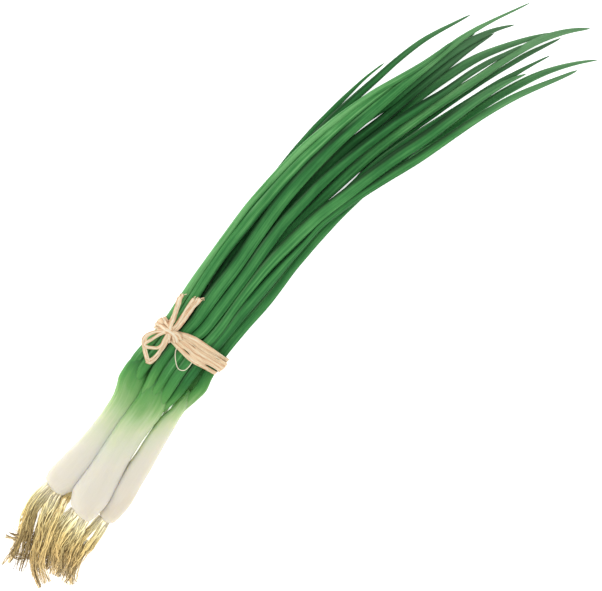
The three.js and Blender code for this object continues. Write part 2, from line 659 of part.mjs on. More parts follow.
const swollenLeaves = Object.values(LEAVES).map((leaf) => solidOf(leafGeometry(leaf, GAP)));
for (const [name, rows] of Object.entries(STEMS)) {
  const whole = solidOf(stemGeometry(rows));
  const stem = largestBody(swollenLeaves.reduce((left, leaf) => left.subtract(leaf), whole));
  bunch.add(named(name, geometryOf(stem), STEM_WHITE));
}
for (const [name, leaf] of Object.entries(LEAVES)) {
  bunch.add(named(name, leafGeometry(leaf), LEAF_GREEN));
}
for (const [name, tuft] of Object.entries(ROOTS)) {
  bunch.add(named(name, geometryOf(rootTuft(tuft)), ROOT_STRAW));
}
bunch.add(named("raffia_band", bandGeometry(), RAFFIA_BEIGE));
bunch.add(named("raffia_bow", geometryOf(bowSolid()), RAFFIA_BEIGE));

export default bunch;
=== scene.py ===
import math
import random

import bpy
import numpy as np
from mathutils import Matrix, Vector


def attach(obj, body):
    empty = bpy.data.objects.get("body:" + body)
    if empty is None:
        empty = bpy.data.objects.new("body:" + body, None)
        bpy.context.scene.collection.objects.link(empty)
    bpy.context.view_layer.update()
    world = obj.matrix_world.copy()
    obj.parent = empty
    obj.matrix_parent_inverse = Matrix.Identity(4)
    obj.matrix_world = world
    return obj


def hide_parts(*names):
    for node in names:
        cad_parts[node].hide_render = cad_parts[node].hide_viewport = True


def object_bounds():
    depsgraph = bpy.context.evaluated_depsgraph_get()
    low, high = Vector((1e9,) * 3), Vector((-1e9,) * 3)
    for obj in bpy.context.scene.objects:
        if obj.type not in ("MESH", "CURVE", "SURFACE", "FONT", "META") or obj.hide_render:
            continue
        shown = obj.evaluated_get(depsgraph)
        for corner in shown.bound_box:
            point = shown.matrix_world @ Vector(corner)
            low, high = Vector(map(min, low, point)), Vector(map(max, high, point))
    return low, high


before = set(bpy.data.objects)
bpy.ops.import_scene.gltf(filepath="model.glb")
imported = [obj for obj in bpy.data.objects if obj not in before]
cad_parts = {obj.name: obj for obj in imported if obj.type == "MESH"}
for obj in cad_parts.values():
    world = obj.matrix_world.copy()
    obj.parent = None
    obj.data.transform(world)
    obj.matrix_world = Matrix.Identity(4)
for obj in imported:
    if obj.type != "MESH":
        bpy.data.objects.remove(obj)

CAD_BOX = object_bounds()
MM = 0.001
MIDDLE = (-0.1, -0.67)  # the footprint's middle in the tables' x and y, in mm
KEPT_INSIDE = 0.02  # mm that every point keeps inside the CAD's box

# The camera looks straight down, rolled so that the bunch runs to the upper right.
LOOKED_AT = (2.95, -21.03, 9)  # mm, in the middle of the picture
PICTURE_WIDTH = 373.2  # mm across the picture at LOOKED_AT
CAMERA_HEIGHT = 1500  # mm above LOOKED_AT
CAMERA_ROLL = -45  # degrees
SENSOR = 36  # mm

# How a stem and a leaf are made; in mm, how far the middle line wanders and the radius of the finish.
TUBES = {
    "stem": {"sides": 80, "rings": 160, "wander": 0.08, "radius": 8},
    "leaf": {"sides": 32, "rings": 170, "wander": 0.15, "radius": 3},
}

# Each stem from the bulb's root end to the end of the neck: [x, y, z, width, height] in mm.
STEMS = {
    "stem_a": [
        [-190.4, 2.6, 8.6, 9.5, 9.5], [-189.2, 2.7, 8.6, 14.2, 14.2], [-186.5, 2.8, 8.4, 16.8, 16.6],
        [-182, 2.2, 8.7, 19.4, 17.6], [-175, 1.8, 9.4, 20.7, 18.1], [-165, 2.2, 9.2, 19.8, 17.6],
        [-155, 3.2, 9, 18.4, 16], [-145, 4.6, 9.2, 17, 14.2], [-135, 6.6, 8.9, 15.4, 12.8],
        [-125, 8.5, 9.4, 15.6, 12], [-118, 10.2, 9.5, 17.8, 11.6], [-112, 12.9, 9.4, 19.6, 11.4],
        [-106, 15.1, 9.1, 18.2, 11], [-100, 17.2, 8.7, 15.6, 10], [-93, 18.4, 8.4, 12, 7.6],
        [-84, 18.6, 8.4, 8, 4],
    ],
    "stem_b": [
        [-189.8, -20, 13.4, 10, 10], [-188.4, -19.8, 13.4, 15.4, 15.4], [-185, -18.9, 13.4, 19, 18.8],
        [-180, -17.4, 13.4, 21.8, 20.2], [-174, -16.4, 13, 23.2, 20.2], [-166, -14.8, 12.7, 22.4, 19.2],
        [-158, -12.7, 12.1, 21, 18], [-150, -10.5, 11.7, 19.8, 16.8], [-140, -8.3, 11.4, 18.8, 15.6],
        [-130, -6, 11.1, 18.8, 14.4], [-121, -4.7, 11.2, 18.8, 13.4], [-112, -3.5, 11.4, 19.4, 12.6],
        [-104, -1, 11.4, 18.6, 11.6], [-97.5, 1.2, 11, 16.4, 9.8], [-90, 2.6, 10.8, 13.5, 7],
        [-82, 3.4, 10.6, 10, 4],
    ],
    "stem_c": [
        [-181.8, -33.4, 6.2, 7, 7], [-180.2, -33.4, 6.2, 10.6, 10.6], [-176.5, -33, 6.4, 13.2, 12.8],
        [-170, -31.9, 7, 15, 14], [-163, -30.5, 7.6, 16, 15], [-150, -27.6, 7.2, 14.6, 14.1],
        [-140, -25.5, 6.6, 13.6, 13.2], [-130, -23.1, 6.8, 12.8, 12.4], [-120, -20.7, 7.2, 12.2, 11.4],
        [-112, -19, 7, 11.2, 9.8], [-104, -18.2, 6.4, 8.2, 8.2], [-97, -17, 6.3, 7.8, 6.6],
        [-88, -16.3, 6.2, 7.4, 4],
    ],
}
STEM_FULLER = 1.04  # how much wider a stem is than in its table, since the onions press together
# A stem's section is round at the bulb and a flatter oval at the neck.
BULB_POWER, NECK_POWER = 2.4, 2.8
BULB_TO, NECK_FROM = -165, -130  # mm along X
# For each onion, how much further from its bulb it turns green, in mm, and how many mm sooner it does
# for each mm across towards +Y.
GREENING = {"a": (0, 0.3), "b": (3, 0.9), "c": (21.5, 2)}

# Each leaf: how light it is near the band and towards its tip, from -1, dark, to 1, light, which is its own
# green with painted light and shade, darker for leaves lying under others and lighter for the outermost; how
# much wider than its solid, since the leaves press together; how dark the painted shade in its creases is
# along its +Y side and its -Y side, from 0 to 1, or more for one that also carries the bow's painted shadow
# near the band; and the X in mm to which they run.
LEAVES = {
    "leaf_a1": (0.95, 0.8, 1.08, 0, 0.1, 120), "leaf_a2": (0.65, 0.5, 1.08, 0, 0.5, 120),
    "leaf_a3": (-0.4, 0.2, 1.16, 0.6, 0.3, 130), "leaf_a4": (-0.7, -0.25, 1.2, 0.5, 0.4, 140),
    "leaf_a5": (0.1, 0.5, 1.1, 0.2, 0.3, 150), "leaf_a6": (-0.8, -0.6, 1.35, 0.5, 0.5, 150),
    "leaf_b1": (0.42, 0.75, 1.1, 1.7, 0, 70), "leaf_b2": (0.45, -0.35, 1.1, 0.9, 0, 150),
    "leaf_b3": (0.5, 0.6, 1.12, 1, 0, 140), "leaf_b4": (-0.5, -0.5, 1.25, 0.5, 0.5, 150),
    "leaf_b5": (0.2, 0.7, 1.12, 0.5, 0.2, 120), "leaf_b6": (-0.6, 0.3, 1.2, 0.4, 0.1, 120),
    "leaf_b7": (0.15, 0.65, 1.18, 0.9, 0.3, 140), "leaf_c1": (0.3, -0.2, 1.14, 0, 0, 150),
    "leaf_c2": (-0.3, 0, 1.2, 0.4, 0.4, 150), "leaf_c3": (-1.1, 0, 1.05, 0.6, 0.5, 150),
    "leaf_c4": (0.5, 0.6, 1.05, 0, 0, 120),
}
# How far a leaf's far part lies from its solid's, in mm towards +Y, and the X in mm between which it moves.
LEAVES_ASIDE = {"leaf_b6": (0.4, 150, 195), "leaf_a4": (0.3, 150, 195), "leaf_a1": (-0.9, 60, 110)}
TONE_NEAR, TONE_FAR = 40, 160  # mm along X between which a leaf's tone changes
# Between these X, in mm, the leaves part, and beyond them each is APART_FULLER times as wide as its solid.
FULL_TO, APART_FROM, APART_FULLER = 90, 150, 1.04
LEAF_POWER = 2.1  # nearly an ellipse
LEAF_ROWS = 30  # read from a leaf's solid, evenly spaced
# How a leaf runs back into its stem's neck: mm behind the solid's start, the share of the way to the neck's
# middle line, and the leaf's width and height as shares of those at the start.
INTO_NECK = [(16, 0.5, 0.5, 0.3), (8, 0.22, 0.85, 0.75)]
# The two lengthwise dents in the top of a leaf: the half turns between which each lies, its width and drift
# in radians, and its least and greatest depth, as shares of the leaf's half size. Then the broad one below.
TOP_DENTS = [((0.35, 0.65), 0.2, 0.35, (0.08, 0.16)), ((0.15, 0.85), 0.1, 0.25, (0.05, 0.1))]
LOW_DENT_BETWEEN, LOW_DENT = (1.3, 1.7), {"width": 0.3, "drift": 0.4, "depth": 0.1}

# Each tuft of roots: its plate's middle and size, and its locks: [x, y, z] routes, with the width of the
# lock at its start and end, its number of strands and how light they are, from 0 to 1, partly their own
# colour and partly painted shade on the low locks under the others.
PLATES = {
    "roots_a": ((-190.2, 2, 8.4), 12.5),
    "roots_b": ((-189.6, -20, 12.6), 13.5),
    "roots_c": ((-181.6, -33.5, 6.2), 9),
}
LOCKS = {
    "roots_a": [
        ([[-190.5, 6.2, 10.5], [-197, 6.9, 10.5], [-204, 6.5, 10], [-210.5, 4.8, 9], [-217, 1.9, 8],
         [-222, -0.8, 7], [-226.5, -3.6, 6.4], [-232, -6.2, 5.6], [-239.5, -7.2, 4.2], [-247.4, -8.4, 2.2]],
         1.9, 0.7, 15, 0.85),
        ([[-190.5, 5, 8.5], [-198, 4.6, 8.6], [-206, 4.2, 8], [-213, 1.6, 7.5], [-220, -1.6, 7.4],
         [-227, -5.4, 7.2], [-233.6, -7.2, 6], [-236.8, -9.6, 4.6], [-235, -13, 3.6], [-231, -16.5, 3]],
         1.9, 1.3, 18, 0.5),
        ([[-190.5, 2.2, 8], [-198, 2.4, 8], [-205, 2, 7.8], [-211, -0.4, 7.6], [-216, -3.4, 7.6],
         [-222, -7.4, 7.6], [-228, -10.8, 7], [-234, -14.5, 5.5], [-242.6, -18.8, 2]], 2.2, 1.7, 28, 0.3),
        ([[-190.5, -1.4, 7.5], [-198, -3.2, 7.6], [-206, -6.2, 8], [-213, -10, 8.4], [-220, -14, 8.6],
         [-227, -18, 8.4], [-232.5, -22.4, 7.4], [-237, -28, 5], [-240.6, -35.6, 2]], 3.6, 1.3, 46, 0.75),
        ([[-188, -7, 5], [-193, -8.6, 6], [-198, -10.6, 7], [-205, -13.4, 8], [-212, -16.2, 8.6],
         [-219, -19.6, 8.8], [-225, -22.6, 8.4], [-230, -26, 7], [-233, -30.5, 4.6], [-236, -36.4, 2]],
         2.6, 1.3, 38, 0.6),
        ([[-181.5, -7.4, 6], [-186, -7.8, 6.4], [-190, -8.4, 6.8], [-198, -10.6, 7.4], [-206, -13.6, 8]],
         1.5, 2, 18, 0.7),
        ([[-190.5, -2, 6], [-200, -4.6, 6.4], [-207, -6.6, 7], [-213, -8.4, 7.2], [-219, -10.6, 7.2],
         [-226, -13.6, 7], [-233, -18, 5.6]], 1.6, 1.8, 20, 0.25),
        ([[-190.5, -3, 5], [-200, -9, 5], [-208, -14, 5.5], [-216, -18, 6], [-224, -22, 6], [-231, -26, 5]],
         3.4, 2.4, 18, 0.15),
        ([[-190.5, 5.5, 9], [-205, 5.6, 9], [-215, 2, 8], [-225, -4, 7], [-234, -8.8, 5.5],
         [-243, -11.5, 3]], 1.2, 0.8, 6, 0.5),
        ([[-190.5, 3, 7], [-200, 3, 7], [-210, 1, 7], [-218, -3, 7], [-224, -6, 7.2], [-228, -6, 7.4],
         [-230.5, -2, 7], [-232.5, 2.6, 6.4]], 1.2, 0.7, 8, 0.5),
        ([[-190.5, 4, 7], [-200, 4, 7], [-210, 2.4, 7], [-219, -1.4, 7], [-225, -3.6, 7.2],
         [-227.4, -0.8, 7], [-229, 2.4, 6.6]], 1.2, 0.9, 7, 0.45),
    ],
    "roots_b": [
        ([[-190, -16.6, 12.6], [-197, -17.2, 11.6], [-204, -18, 9.4], [-211, -19.6, 7],
         [-217, -22.4, 5.6], [-222, -26, 4.8], [-226.5, -28.6, 4], [-230, -29.8, 3]], 2.8, 1.9, 32, 0.45),
        ([[-190, -19.4, 12.8], [-198, -20.6, 11.4], [-206, -22, 8.8], [-213, -24.4, 6.4], [-219, -28.4, 5],
         [-224, -32.6, 4], [-229.3, -35.4, 2.8]], 3.2, 2.2, 34, 0.65),
        ([[-190, -23, 12.2], [-198, -25, 10.6], [-206, -27, 8.2], [-213, -29, 6], [-219, -32, 4.8],
         [-224.5, -35.6, 3.6], [-228.6, -38, 2.6]], 3.2, 2, 34, 0.5),
        ([[-190, -25.6, 11], [-198, -28.4, 9.2], [-206, -30.6, 7.2], [-213, -32.6, 5.4], [-220, -36, 4.4],
         [-225.6, -37, 3.4]], 2.6, 1.8, 26, 0.75),
        ([[-190, -20, 10], [-199, -19, 8], [-208, -20, 5.5], [-217, -24, 3.6], [-225, -29, 2.6]],
         5, 3.4, 20, 0.05),
    ],
    "roots_c": [
        ([[-182, -31, 7.5], [-190, -31.6, 6.4], [-198, -32, 5], [-206, -33.8, 3.8], [-214, -36, 2.8],
         [-221, -39.6, 2.2], [-224, -42.4, 1.6]], 1.7, 2.2, 32, 0.6),
        ([[-182, -34.6, 6], [-190, -36.8, 5], [-198, -37.6, 4], [-206, -38.6, 3], [-213, -39.8, 2.4],
         [-219, -41.8, 1.8], [-223, -44.8, 1.4], [-225.6, -48.4, 1]], 1.6, 0.9, 30, 0.65),
        ([[-182, -36, 5], [-188, -38, 4.6], [-194, -39.4, 4], [-200, -40.8, 3.4], [-206, -40.2, 2.8],
         [-212, -41.2, 2.2], [-218, -42.6, 1.6], [-224, -46, 1.2]], 1.2, 0.7, 16, 0.9),
        ([[-182, -35.4, 6], [-192, -37.4, 4.6], [-202, -38.4, 3.4], [-212, -39.8, 2.6], [-220, -41, 2],
         [-228, -43.8, 1.4]], 1.6, 1.6, 14, 0.6),
        ([[-199, -35.4, 3], [-205, -36.4, 2.4], [-212, -38, 1.8], [-220, -40.6, 1.2]], 2.6, 2.2, 14, 0.1),
    ],
}

# The raffia band: the oval that it follows round the leaves, and its two edges on top of them, [y, x, x].
BAND = {"y": 5.2, "z": 9.5, "width": 48, "height": 17.3, "squareness": 2.6}
BAND_EDGES = [
    [-19, -69.6, -56.5], [-12, -71.3, -57.6], [-5, -73.6, -58.8], [0, -74.6, -59.7], [5, -74.5, -60.7],
    [10, -74.5, -62.7], [15, -74.2, -65.6], [18.5, -72.8, -66.4], [21, -72.6, -66.4], [24.5, -74.4, -66],
    [29.4, -76, -65.2],
]
BAND_OUT = 0.45  # mm from the oval to the middle of a strand
TOP_FROM = -0.2  # the sine of the angle round the band from which it lies on top
STRAND_POINTS, STRAND_TINTS = 220, (0.42, 0.52)
# Where the band's strands meet, from its first edge, 0, to its second, 1, and the slits that open there:
# [which meeting, from y, to y, width].
BAND_MEETINGS = [0, 0.22, 0.42, 0.62, 0.75, 1]
BAND_SLITS = [[1, 7.2, 0.2, 0.6], [1, -9.4, -19.5, 1.25], [3, 5.4, 0.4, 0.95], [4, -9.8, -15, 0.95]]
BAND_RISES = [-0.9, 0.2, 0.6, 0.25, -1.1]  # mm that each strand is further out at the two sides
STRANDS_OVERLAP, STRAND_LEAST = 0.35, 0.4  # mm
# Fine fibres that lie on the band: how far out and how far they wander, in mm; their widths; the angles
# between which they lie, and their least length as an angle; and the shares of the band's width.
BAND_FIBRES, FIBRE_POINTS = 9, 60
FIBRES_OUT, FIBRES_WANDER, FIBRE_WIDTHS = 0.95, 0.5, (0.35, 0.8)
FIBRE_ANGLES, FIBRE_LEAST, FIBRE_SHARES = (0.25, 2.9), 0.2, (0.05, 0.95)
# The loose fibre that stands in a hoop beside the band.
HOOP = [
    [-73, 9.8, 18.9], [-75.5, 9, 19], [-78, 7, 19], [-80.5, 4, 18.9], [-82.2, 1, 18.8], [-82.4, -1, 18.7],
    [-81.4, -2.8, 18.5], [-79.8, -3.8, 18.3], [-77, -3.9, 18.2], [-74, -3.4, 18.3],
]
HOOP_WIDTH, HOOP_POINTS = 0.5, 70

# The bow's loops and loose tails: each strip's width and its [x, y, z] route.
LOOPS = [
    (2.3, [[-70.5, 20.6, 20.6], [-72.9, 22.8, 21.2], [-75.6, 25.3, 21.4], [-79.4, 27.4, 21.2],
     [-82.8, 28.2, 20.8], [-86, 26.8, 20.6], [-88.6, 23.2, 20.2], [-91, 19.4, 19.8], [-93, 16, 19.4]]),
    (2.1, [[-93.2, 17.2, 19.8], [-92, 14.8, 19.2], [-88.4, 14.1, 19.2], [-83.4, 14.9, 19.4],
     [-78.4, 15.9, 19.8], [-73.8, 17.4, 20.4], [-70.5, 19.6, 20.6]]),
    (1.4, [[-70.5, 21, 21.2], [-73.8, 23.8, 21.8], [-77.4, 26.2, 22], [-81.8, 27.2, 21.6],
     [-84.8, 26, 21.2], [-87.8, 22.6, 20.8], [-90.2, 18.8, 20.4], [-92, 15.6, 20]]),
    (1.4, [[-91.8, 18.4, 20.4], [-90.4, 16, 20.1], [-86.4, 15.5, 20], [-81.4, 16.2, 20.2],
     [-75.6, 17.6, 20.8], [-70.5, 20, 21.2]]),
    (2, [[-70.5, 20.6, 21.6], [-73.8, 22.3, 22], [-77.4, 23.4, 22.2], [-81.4, 24.2, 22],
     [-85, 25.2, 21.8], [-86.8, 24.8, 21.4], [-86.4, 22.8, 21.2], [-84.6, 20.4, 21], [-82.4, 18, 21],
     [-79.4, 17.4, 21.2], [-75.6, 18.6, 21.4], [-70.5, 20, 21.4]]),
]
TAILS = [
    (3.2, [[-70, 20.6, 21.2], [-66, 22.56, 21.6], [-62, 24.1, 21.2], [-58, 26.1, 20.4], [-54, 28.3, 19.4],
     [-50.4, 30.6, 18.4]]),
    (1.9, [[-70, 20.8, 20.6], [-66, 22.88, 21], [-62, 24.3, 20.6], [-57, 26.7, 19.8], [-52, 28.9, 18.8],
     [-48.2, 30.3, 17.8]]),
    (2.2, [[-70, 20, 21.2], [-66, 19.42, 21.6], [-60, 20.4, 21], [-54, 21.8, 20.2], [-49, 22.9, 19.6],
     [-45.2, 23.6, 19.2]]),
    (2.6, [[-70, 19.4, 20.8], [-65, 17.7, 21], [-59, 18.5, 20.6], [-52, 19.6, 19.8], [-47, 20.2, 19.2],
     [-42.4, 20.5, 18.6]]),
    (1.6, [[-70, 19.8, 20.4], [-64, 18.7, 20.6], [-57, 20.1, 20.2], [-50, 21.3, 19.4], [-43.6, 22.1, 18.6]]),
]
# A tail's loose fibres, in mm: their widths, how far they lie aside and below, how far they reach past its
# end, and how far they turn aside and down there.
LOOSE_TO_A_TAIL, LOOSE_WIDTHS = 2, (0.35, 0.7)
LOOSE_ASIDE, LOOSE_LOWER, LOOSE_REACHES = 0.5, 0.2, (0.6, 2.2)
END_ASIDE, END_LOWER = 0.7, 0.3
STRIP_SWELLS, STRIP_TINTS = 0.12, (0.45, 0.6)
ROUTE_FINER = 12  # points along a strip for each one of its route
# The strips wound round the knot, and the core under them.
WINDINGS = [
    (3, [[-75.4, 15.6, 18.4], [-73.6, 17.2, 20], [-71, 19, 21.9], [-68.6, 20.6, 22.1], [-65.6, 23, 20],
     [-64.6, 24.4, 18.4]]),
    (2.6, [[-74.4, 25.6, 17.2], [-73.4, 24.2, 19.4], [-71.6, 21.8, 21.6], [-69.8, 19.2, 22.4],
     [-68.2, 16.4, 21.6], [-67.6, 13.6, 19.9], [-68.4, 11.2, 19.1]]),
    (3.2, [[-71.6, 26.6, 16.4], [-71.2, 24.8, 19.2], [-70.8, 22.2, 21.6], [-70, 19.2, 22.7],
     [-69.8, 16.4, 21.4], [-70.4, 13.8, 19.6], [-71, 11.6, 19]]),
    (2.2, [[-67.8, 26.2, 16.8], [-68, 24.2, 19.4], [-68.4, 21.8, 21.4], [-69.2, 19.2, 22.2],
     [-70.6, 16.6, 21.4], [-71.8, 14.4, 19.7], [-72.4, 12.8, 19.1]]),
]
KNOT = {"middle": [-70, 19.6, 19.6], "size": [6.4, 7, 4.6], "rings": 16, "sides": 24, "grain": 3}
RAFFIA_THICK = 0.32
STRIP_POINTS = 15  # across a strip
GRAIN_REACH, GRAINS_APART = 80, 0.37  # where a strip's pattern begins
# The folds of a strip: their rates across it, in radians to its half width, and how far they wander.
WIDE_FOLDS, NARROW_FOLDS, FINEST_FOLDS = (1.5, 3), (4, 6), 9
FOLDS_WANDER = 1.8
# How much lighter a strip is at its two rims, and, as a painted highlight on its ridges and painted shade in
# its valleys, for each mm that a fold rises.
RIM_LIGHTER, FOLD_PAINTED_SHADING = 0.25, 1.7


# ---- curves and meshes

# How strong each octave of a wavy line is beside the last, and what their sum is divided by.
OCTAVE_FADES, OCTAVES_SUM = 0.6, 1.6
LEAST_END = 0.01  # keeps a rounded end from shrinking to a point


def centred(rows):
    """A point, or rows that each begin with x and y, moved from the tables' origin to the frame's."""
    rows = np.array(rows, float)
    rows[..., :2] -= MIDDLE
    return rows


def smooth(rows, count):
    """count rows along a Catmull-Rom line through the given rows, evenly spaced in their index."""
    rows = np.asarray(rows, float)
    at = np.linspace(0, len(rows) - 1, count)
    i = np.clip(at.astype(int), 0, len(rows) - 2)
    t = (at - i)[:, None]
    before, here = rows[np.maximum(i - 1, 0)], rows[i]
    after, later = rows[i + 1], rows[np.minimum(i + 2, len(rows) - 1)]
    return 0.5 * (
        2 * here
        + (after - before) * t
        + (2 * before - 5 * here + 4 * after - later) * t**2
        + (3 * here - before - 3 * after + later) * t**3
    )


def waves(rng, octaves, slowest):
    """A smooth wavy function of a share from 0 to 1, about -1 to 1, drawn from rng. Its slowest octave has
    the given number of waves, and each next one twice as many."""
    terms = [(slowest * 2**k, rng.uniform(0, math.tau), OCTAVE_FADES**k) for k in range(octaves)]
    return lambda share: sum(a * np.sin(math.tau * f * share + p) for f, p, a in terms) / OCTAVES_SUM


def superellipse(angle, power):
    """Points of a rounded box of half size 1 at the given angles. A greater power is a squarer box."""
    cos, sin = np.cos(angle), np.sin(angle)
    return np.sign(cos) * np.abs(cos) ** (2 / power), np.sign(sin) * np.abs(sin) ** (2 / power)


def unit(vectors):
    return vectors / (np.linalg.norm(vectors, axis=-1, keepdims=True) + 1e-9)


def placed(name, data):
    made = bpy.data.objects.new(name, data)
    bpy.context.scene.collection.objects.link(made)
    return made


def length_along(points):
    return np.concatenate([[0], np.cumsum(np.linalg.norm(np.diff(points, axis=0), axis=1))])


def ease(value, low, high):
    """0 below low and 1 above high, with a smooth rise between them."""
    t = np.clip((value - low) / (high - low), 0, 1)
    return t * t * (3 - 2 * t)


def rings_of(x, y, z):
    """Points from arrays of coordinates whose shapes fit each other."""
    return np.stack(np.broadcast_arrays(x, y, z), -1)


def full_turn(sides):
    return np.linspace(0, math.tau, sides, endpoint=False)


class Body:
    """Closed tubes gathered into one mesh, each with values on its points."""

    def __init__(self):
        self.points, self.faces, self.values, self.grain = [], [], {}, []
        self.total = 0

    def add(self, rings, grain, **values):
        """A tube from its rings of points in mm, closed at both ends. grain is each point's place on the
        surface; a value is one number, one for each ring, or one for each point."""
        count, sides = rings.shape[:2]
        first, last = self.total, self.total + (count - 1) * sides
        start, end = last + sides, last + sides + 1
        around = [(j, (j + 1) % sides) for j in range(sides)]
        for a in range(first, last, sides):
            b = a + sides
            self.faces += [(a + j, a + k, b + k, b + j) for j, k in around]
        for j, k in around:
            self.faces += [(start, first + k, first + j), (end, last + j, last + k)]
        low, high = (np.array(corner) / MM for corner in CAD_BOX)
        self.points.append(np.clip(self.capped(rings), low + KEPT_INSIDE, high - KEPT_INSIDE))
        self.grain.append(self.capped(grain))
        for key, value in values.items():
            value = np.asarray(value, float)
            if value.ndim == 1:
                value = value[:, None]
            value = np.broadcast_to(value, (count, sides))
            self.values.setdefault(key, []).append(self.capped(value[..., None])[:, 0])
        self.total = end + 1

    @staticmethod
    def capped(rings):
        """The rings' rows in one list, followed by the middle of each end's cap."""
        return np.vstack([rings.reshape(-1, rings.shape[-1]), rings[0].mean(0), rings[-1].mean(0)])

    def piece(self, node, material):
        """The finished object, in place of a CAD node."""
        mesh = bpy.data.meshes.new(node + "_fine")
        mesh.from_pydata((np.vstack(self.points) * MM).tolist(), [], self.faces)
        for key, parts in self.values.items():
            made = mesh.attributes.new(key, "FLOAT", "POINT")
            made.data.foreach_set("value", np.concatenate(parts).astype(np.float32))
        made = mesh.attributes.new("grain", "FLOAT_VECTOR", "POINT")
        made.data.foreach_set("vector", np.vstack(self.grain).astype(np.float32).ravel())
        mesh.materials.append(material)
        mesh.shade_smooth()
        made = placed(node + "_fine", mesh)
        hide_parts(node)
        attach(made, "root")


def grain_round(angle, length, radius, rng):
    """Each point's place on a tube, round it in mm and along it in cm, from a start drawn from rng."""
    x, y, z = (rng.uniform(0, 50) for _ in range(3))
    round_it = radius * np.cos(angle)[None] + x, radius * np.sin(angle)[None] + y
    return rings_of(*round_it, length[:, None] / 10 + z)


# ---- materials

NOISE_RANGE = (0.25, 0.75)  # nearly all of a noise texture's values lie between these


def linear(color):
    """A colour of 0 to 255 a channel as linear light, with full opacity."""
    shares = [channel / 255 for channel in color]
    return (*(s / 12.92 if s <= 0.04045 else ((s + 0.055) / 1.055) ** 2.4 for s in shares), 1)


class Nodes:
    """The node tree of a material or of the world, built a node at a time."""

    def __init__(self, owner):
        owner.use_nodes = True
        self.tree = owner.node_tree

    def put(self, socket, value):
        if isinstance(value, bpy.types.NodeSocket):
            self.tree.links.new(value, socket)
        else:
            socket.default_value = value

    def fill(self, node, inputs):
        for key, value in inputs.items():
            self.put(node.inputs[key.replace("_", " ")], value)
        return node

    def node(self, kind, **inputs):
        return self.fill(self.tree.nodes.new(kind), inputs)

    def maths(self, operation, a, b, kind="ShaderNodeMath"):
        made = self.tree.nodes.new(kind)
        made.operation = operation
        self.put(made.inputs[0], a)
        self.put(made.inputs[1], b)
        return made.outputs[0]

    def times(self, a, b):
        return self.maths("MULTIPLY", a, b)

    def varied(self, value, *patterns):
        """The value, and for each (pattern, share) the pattern times its share added to it."""
        for pattern, share in patterns:
            value = self.maths("ADD", value, self.times(pattern, share))
        return value

    def scaled(self, vector, by):
        return self.maths("MULTIPLY", vector, by, "ShaderNodeVectorMath")

    def noise(self, vector, scale=1, detail=4, roughness=0.55):
        """Noise of about -1 to 1."""
        look = {"Scale": scale, "Detail": detail, "Roughness": roughness}
        made = self.node("ShaderNodeTexNoise", Vector=vector, **look)
        return self.spread(made.outputs["Fac"], NOISE_RANGE, (-1, 1))

    def spread(self, value, reach, to=(0, 1)):
        """The value moved from the range in reach to the range in to, and held within it."""
        ends = {"From_Min": reach[0], "From_Max": reach[1], "To_Min": to[0], "To_Max": to[1]}
        return self.node("ShaderNodeMapRange", Value=value, **ends).outputs["Result"]

    def ramp(self, value, stops):
        """A colour by value, from stops of (value, colour)."""
        low, high = stops[0][0], stops[-1][0]
        made = self.node("ShaderNodeValToRGB", Fac=self.spread(value, (low, high)))
        elements = made.color_ramp.elements
        while len(elements) < len(stops):
            elements.new(0.5)
        for element, (at, color) in zip(elements, stops):
            element.position = (at - low) / (high - low)
            element.color = linear(color)
        return made.outputs["Color"]

    def mix(self, share, a, b):
        made = self.tree.nodes.new("ShaderNodeMix")
        made.data_type = "RGBA"
        for key, value in (("Factor_Float", share), ("A_Color", a), ("B_Color", b)):
            socket = next(s for s in made.inputs if s.identifier == key)
            self.put(socket, value)
        return next(s for s in made.outputs if s.identifier == "Result_Color")

    def shaded(self, color, by):
        """A colour made darker or lighter by a factor."""
        return self.scaled(color, self.node("ShaderNodeCombineXYZ", X=by, Y=by, Z=by).outputs[0])

    def attribute(self, name, output="Fac"):
        made = self.tree.nodes.new("ShaderNodeAttribute")
        made.attribute_name = name
        return made.outputs[output]


class Finish(Nodes):
    def __init__(self, name):
        self.material = bpy.data.materials.new(name)
        super().__init__(self.material)
        self.shader = self.tree.nodes["Principled BSDF"]

    def bump(self, height, strength, distance):
        """The surface's normal for a height of about -1 to 1; distance, in metres, is how deep it goes."""
        made = self.node("ShaderNodeBump", Height=height, Strength=strength, Distance=distance)
        return made.outputs["Normal"]

    def done(self, color, roughness, normal, **others):
        self.fill(self.shader, {"Base Color": color, "Roughness": roughness, "Normal": normal, **others})
        return self.material


# The colour of an onion by its place in mm along the bunch: bulb, shank, neck and leaf.
SKIN = [
    (-195, (214, 206, 190)), (-188, (217, 211, 198)), (-158, (217, 213, 199)), (-146, (210, 212, 191)),
    (-136, (202, 210, 176)), (-126, (172, 197, 146)), (-119, (142, 180, 118)), (-112, (112, 164, 92)),
    (-105, (88, 151, 77)), (-97, (70, 136, 65)), (-84, (54, 118, 56)),
]
TURNS_TO_LEAF = (-104, -84)  # mm along the bunch between which the skin takes a leaf's colour
# The colour of a leaf by its tone, how light it is, which holds painted light and shade as well as the
# leaf's own green.
LEAF_GREENS = [
    (-1.2, (6, 44, 16)), (-0.4, (28, 88, 38)), (0.2, (48, 116, 58)), (0.8, (76, 146, 78)),
    (1.2, (112, 176, 108)),
]
# What a leaf's colour is mixed with, and how much of it: towards its tip; in a painted highlight along its
# lit +Y edge, partly its own pale margin; and in painted shade in its creases.
TIPWARD, TIPWARD_SHARE = (108, 142, 108), 0.6
TIPWARD_PLACES = (130, 220)  # mm along the bunch between which it fades
EDGE_HIGHLIGHT, EDGE_HIGHLIGHT_SHARE = (160, 206, 154), 0.35
CREASE_SHADE, CREASE_SHADE_SHARE = (4, 36, 12), 0.85
# The patterns in an onion's skin: how often each repeats across and along it, its detail and its roughness.
SKIN_PATTERNS = {
    "fine": ((2.6, 2.6, 0.9), 5, 0.6),
    "broad": ((0.3, 0.3, 0.5), 3, 0.5),
    "streaks": ((0.9, 0.9, 0.06), 3, 0.6),
    "veins": ((4, 4, 0.05), 2, 0.5),
}
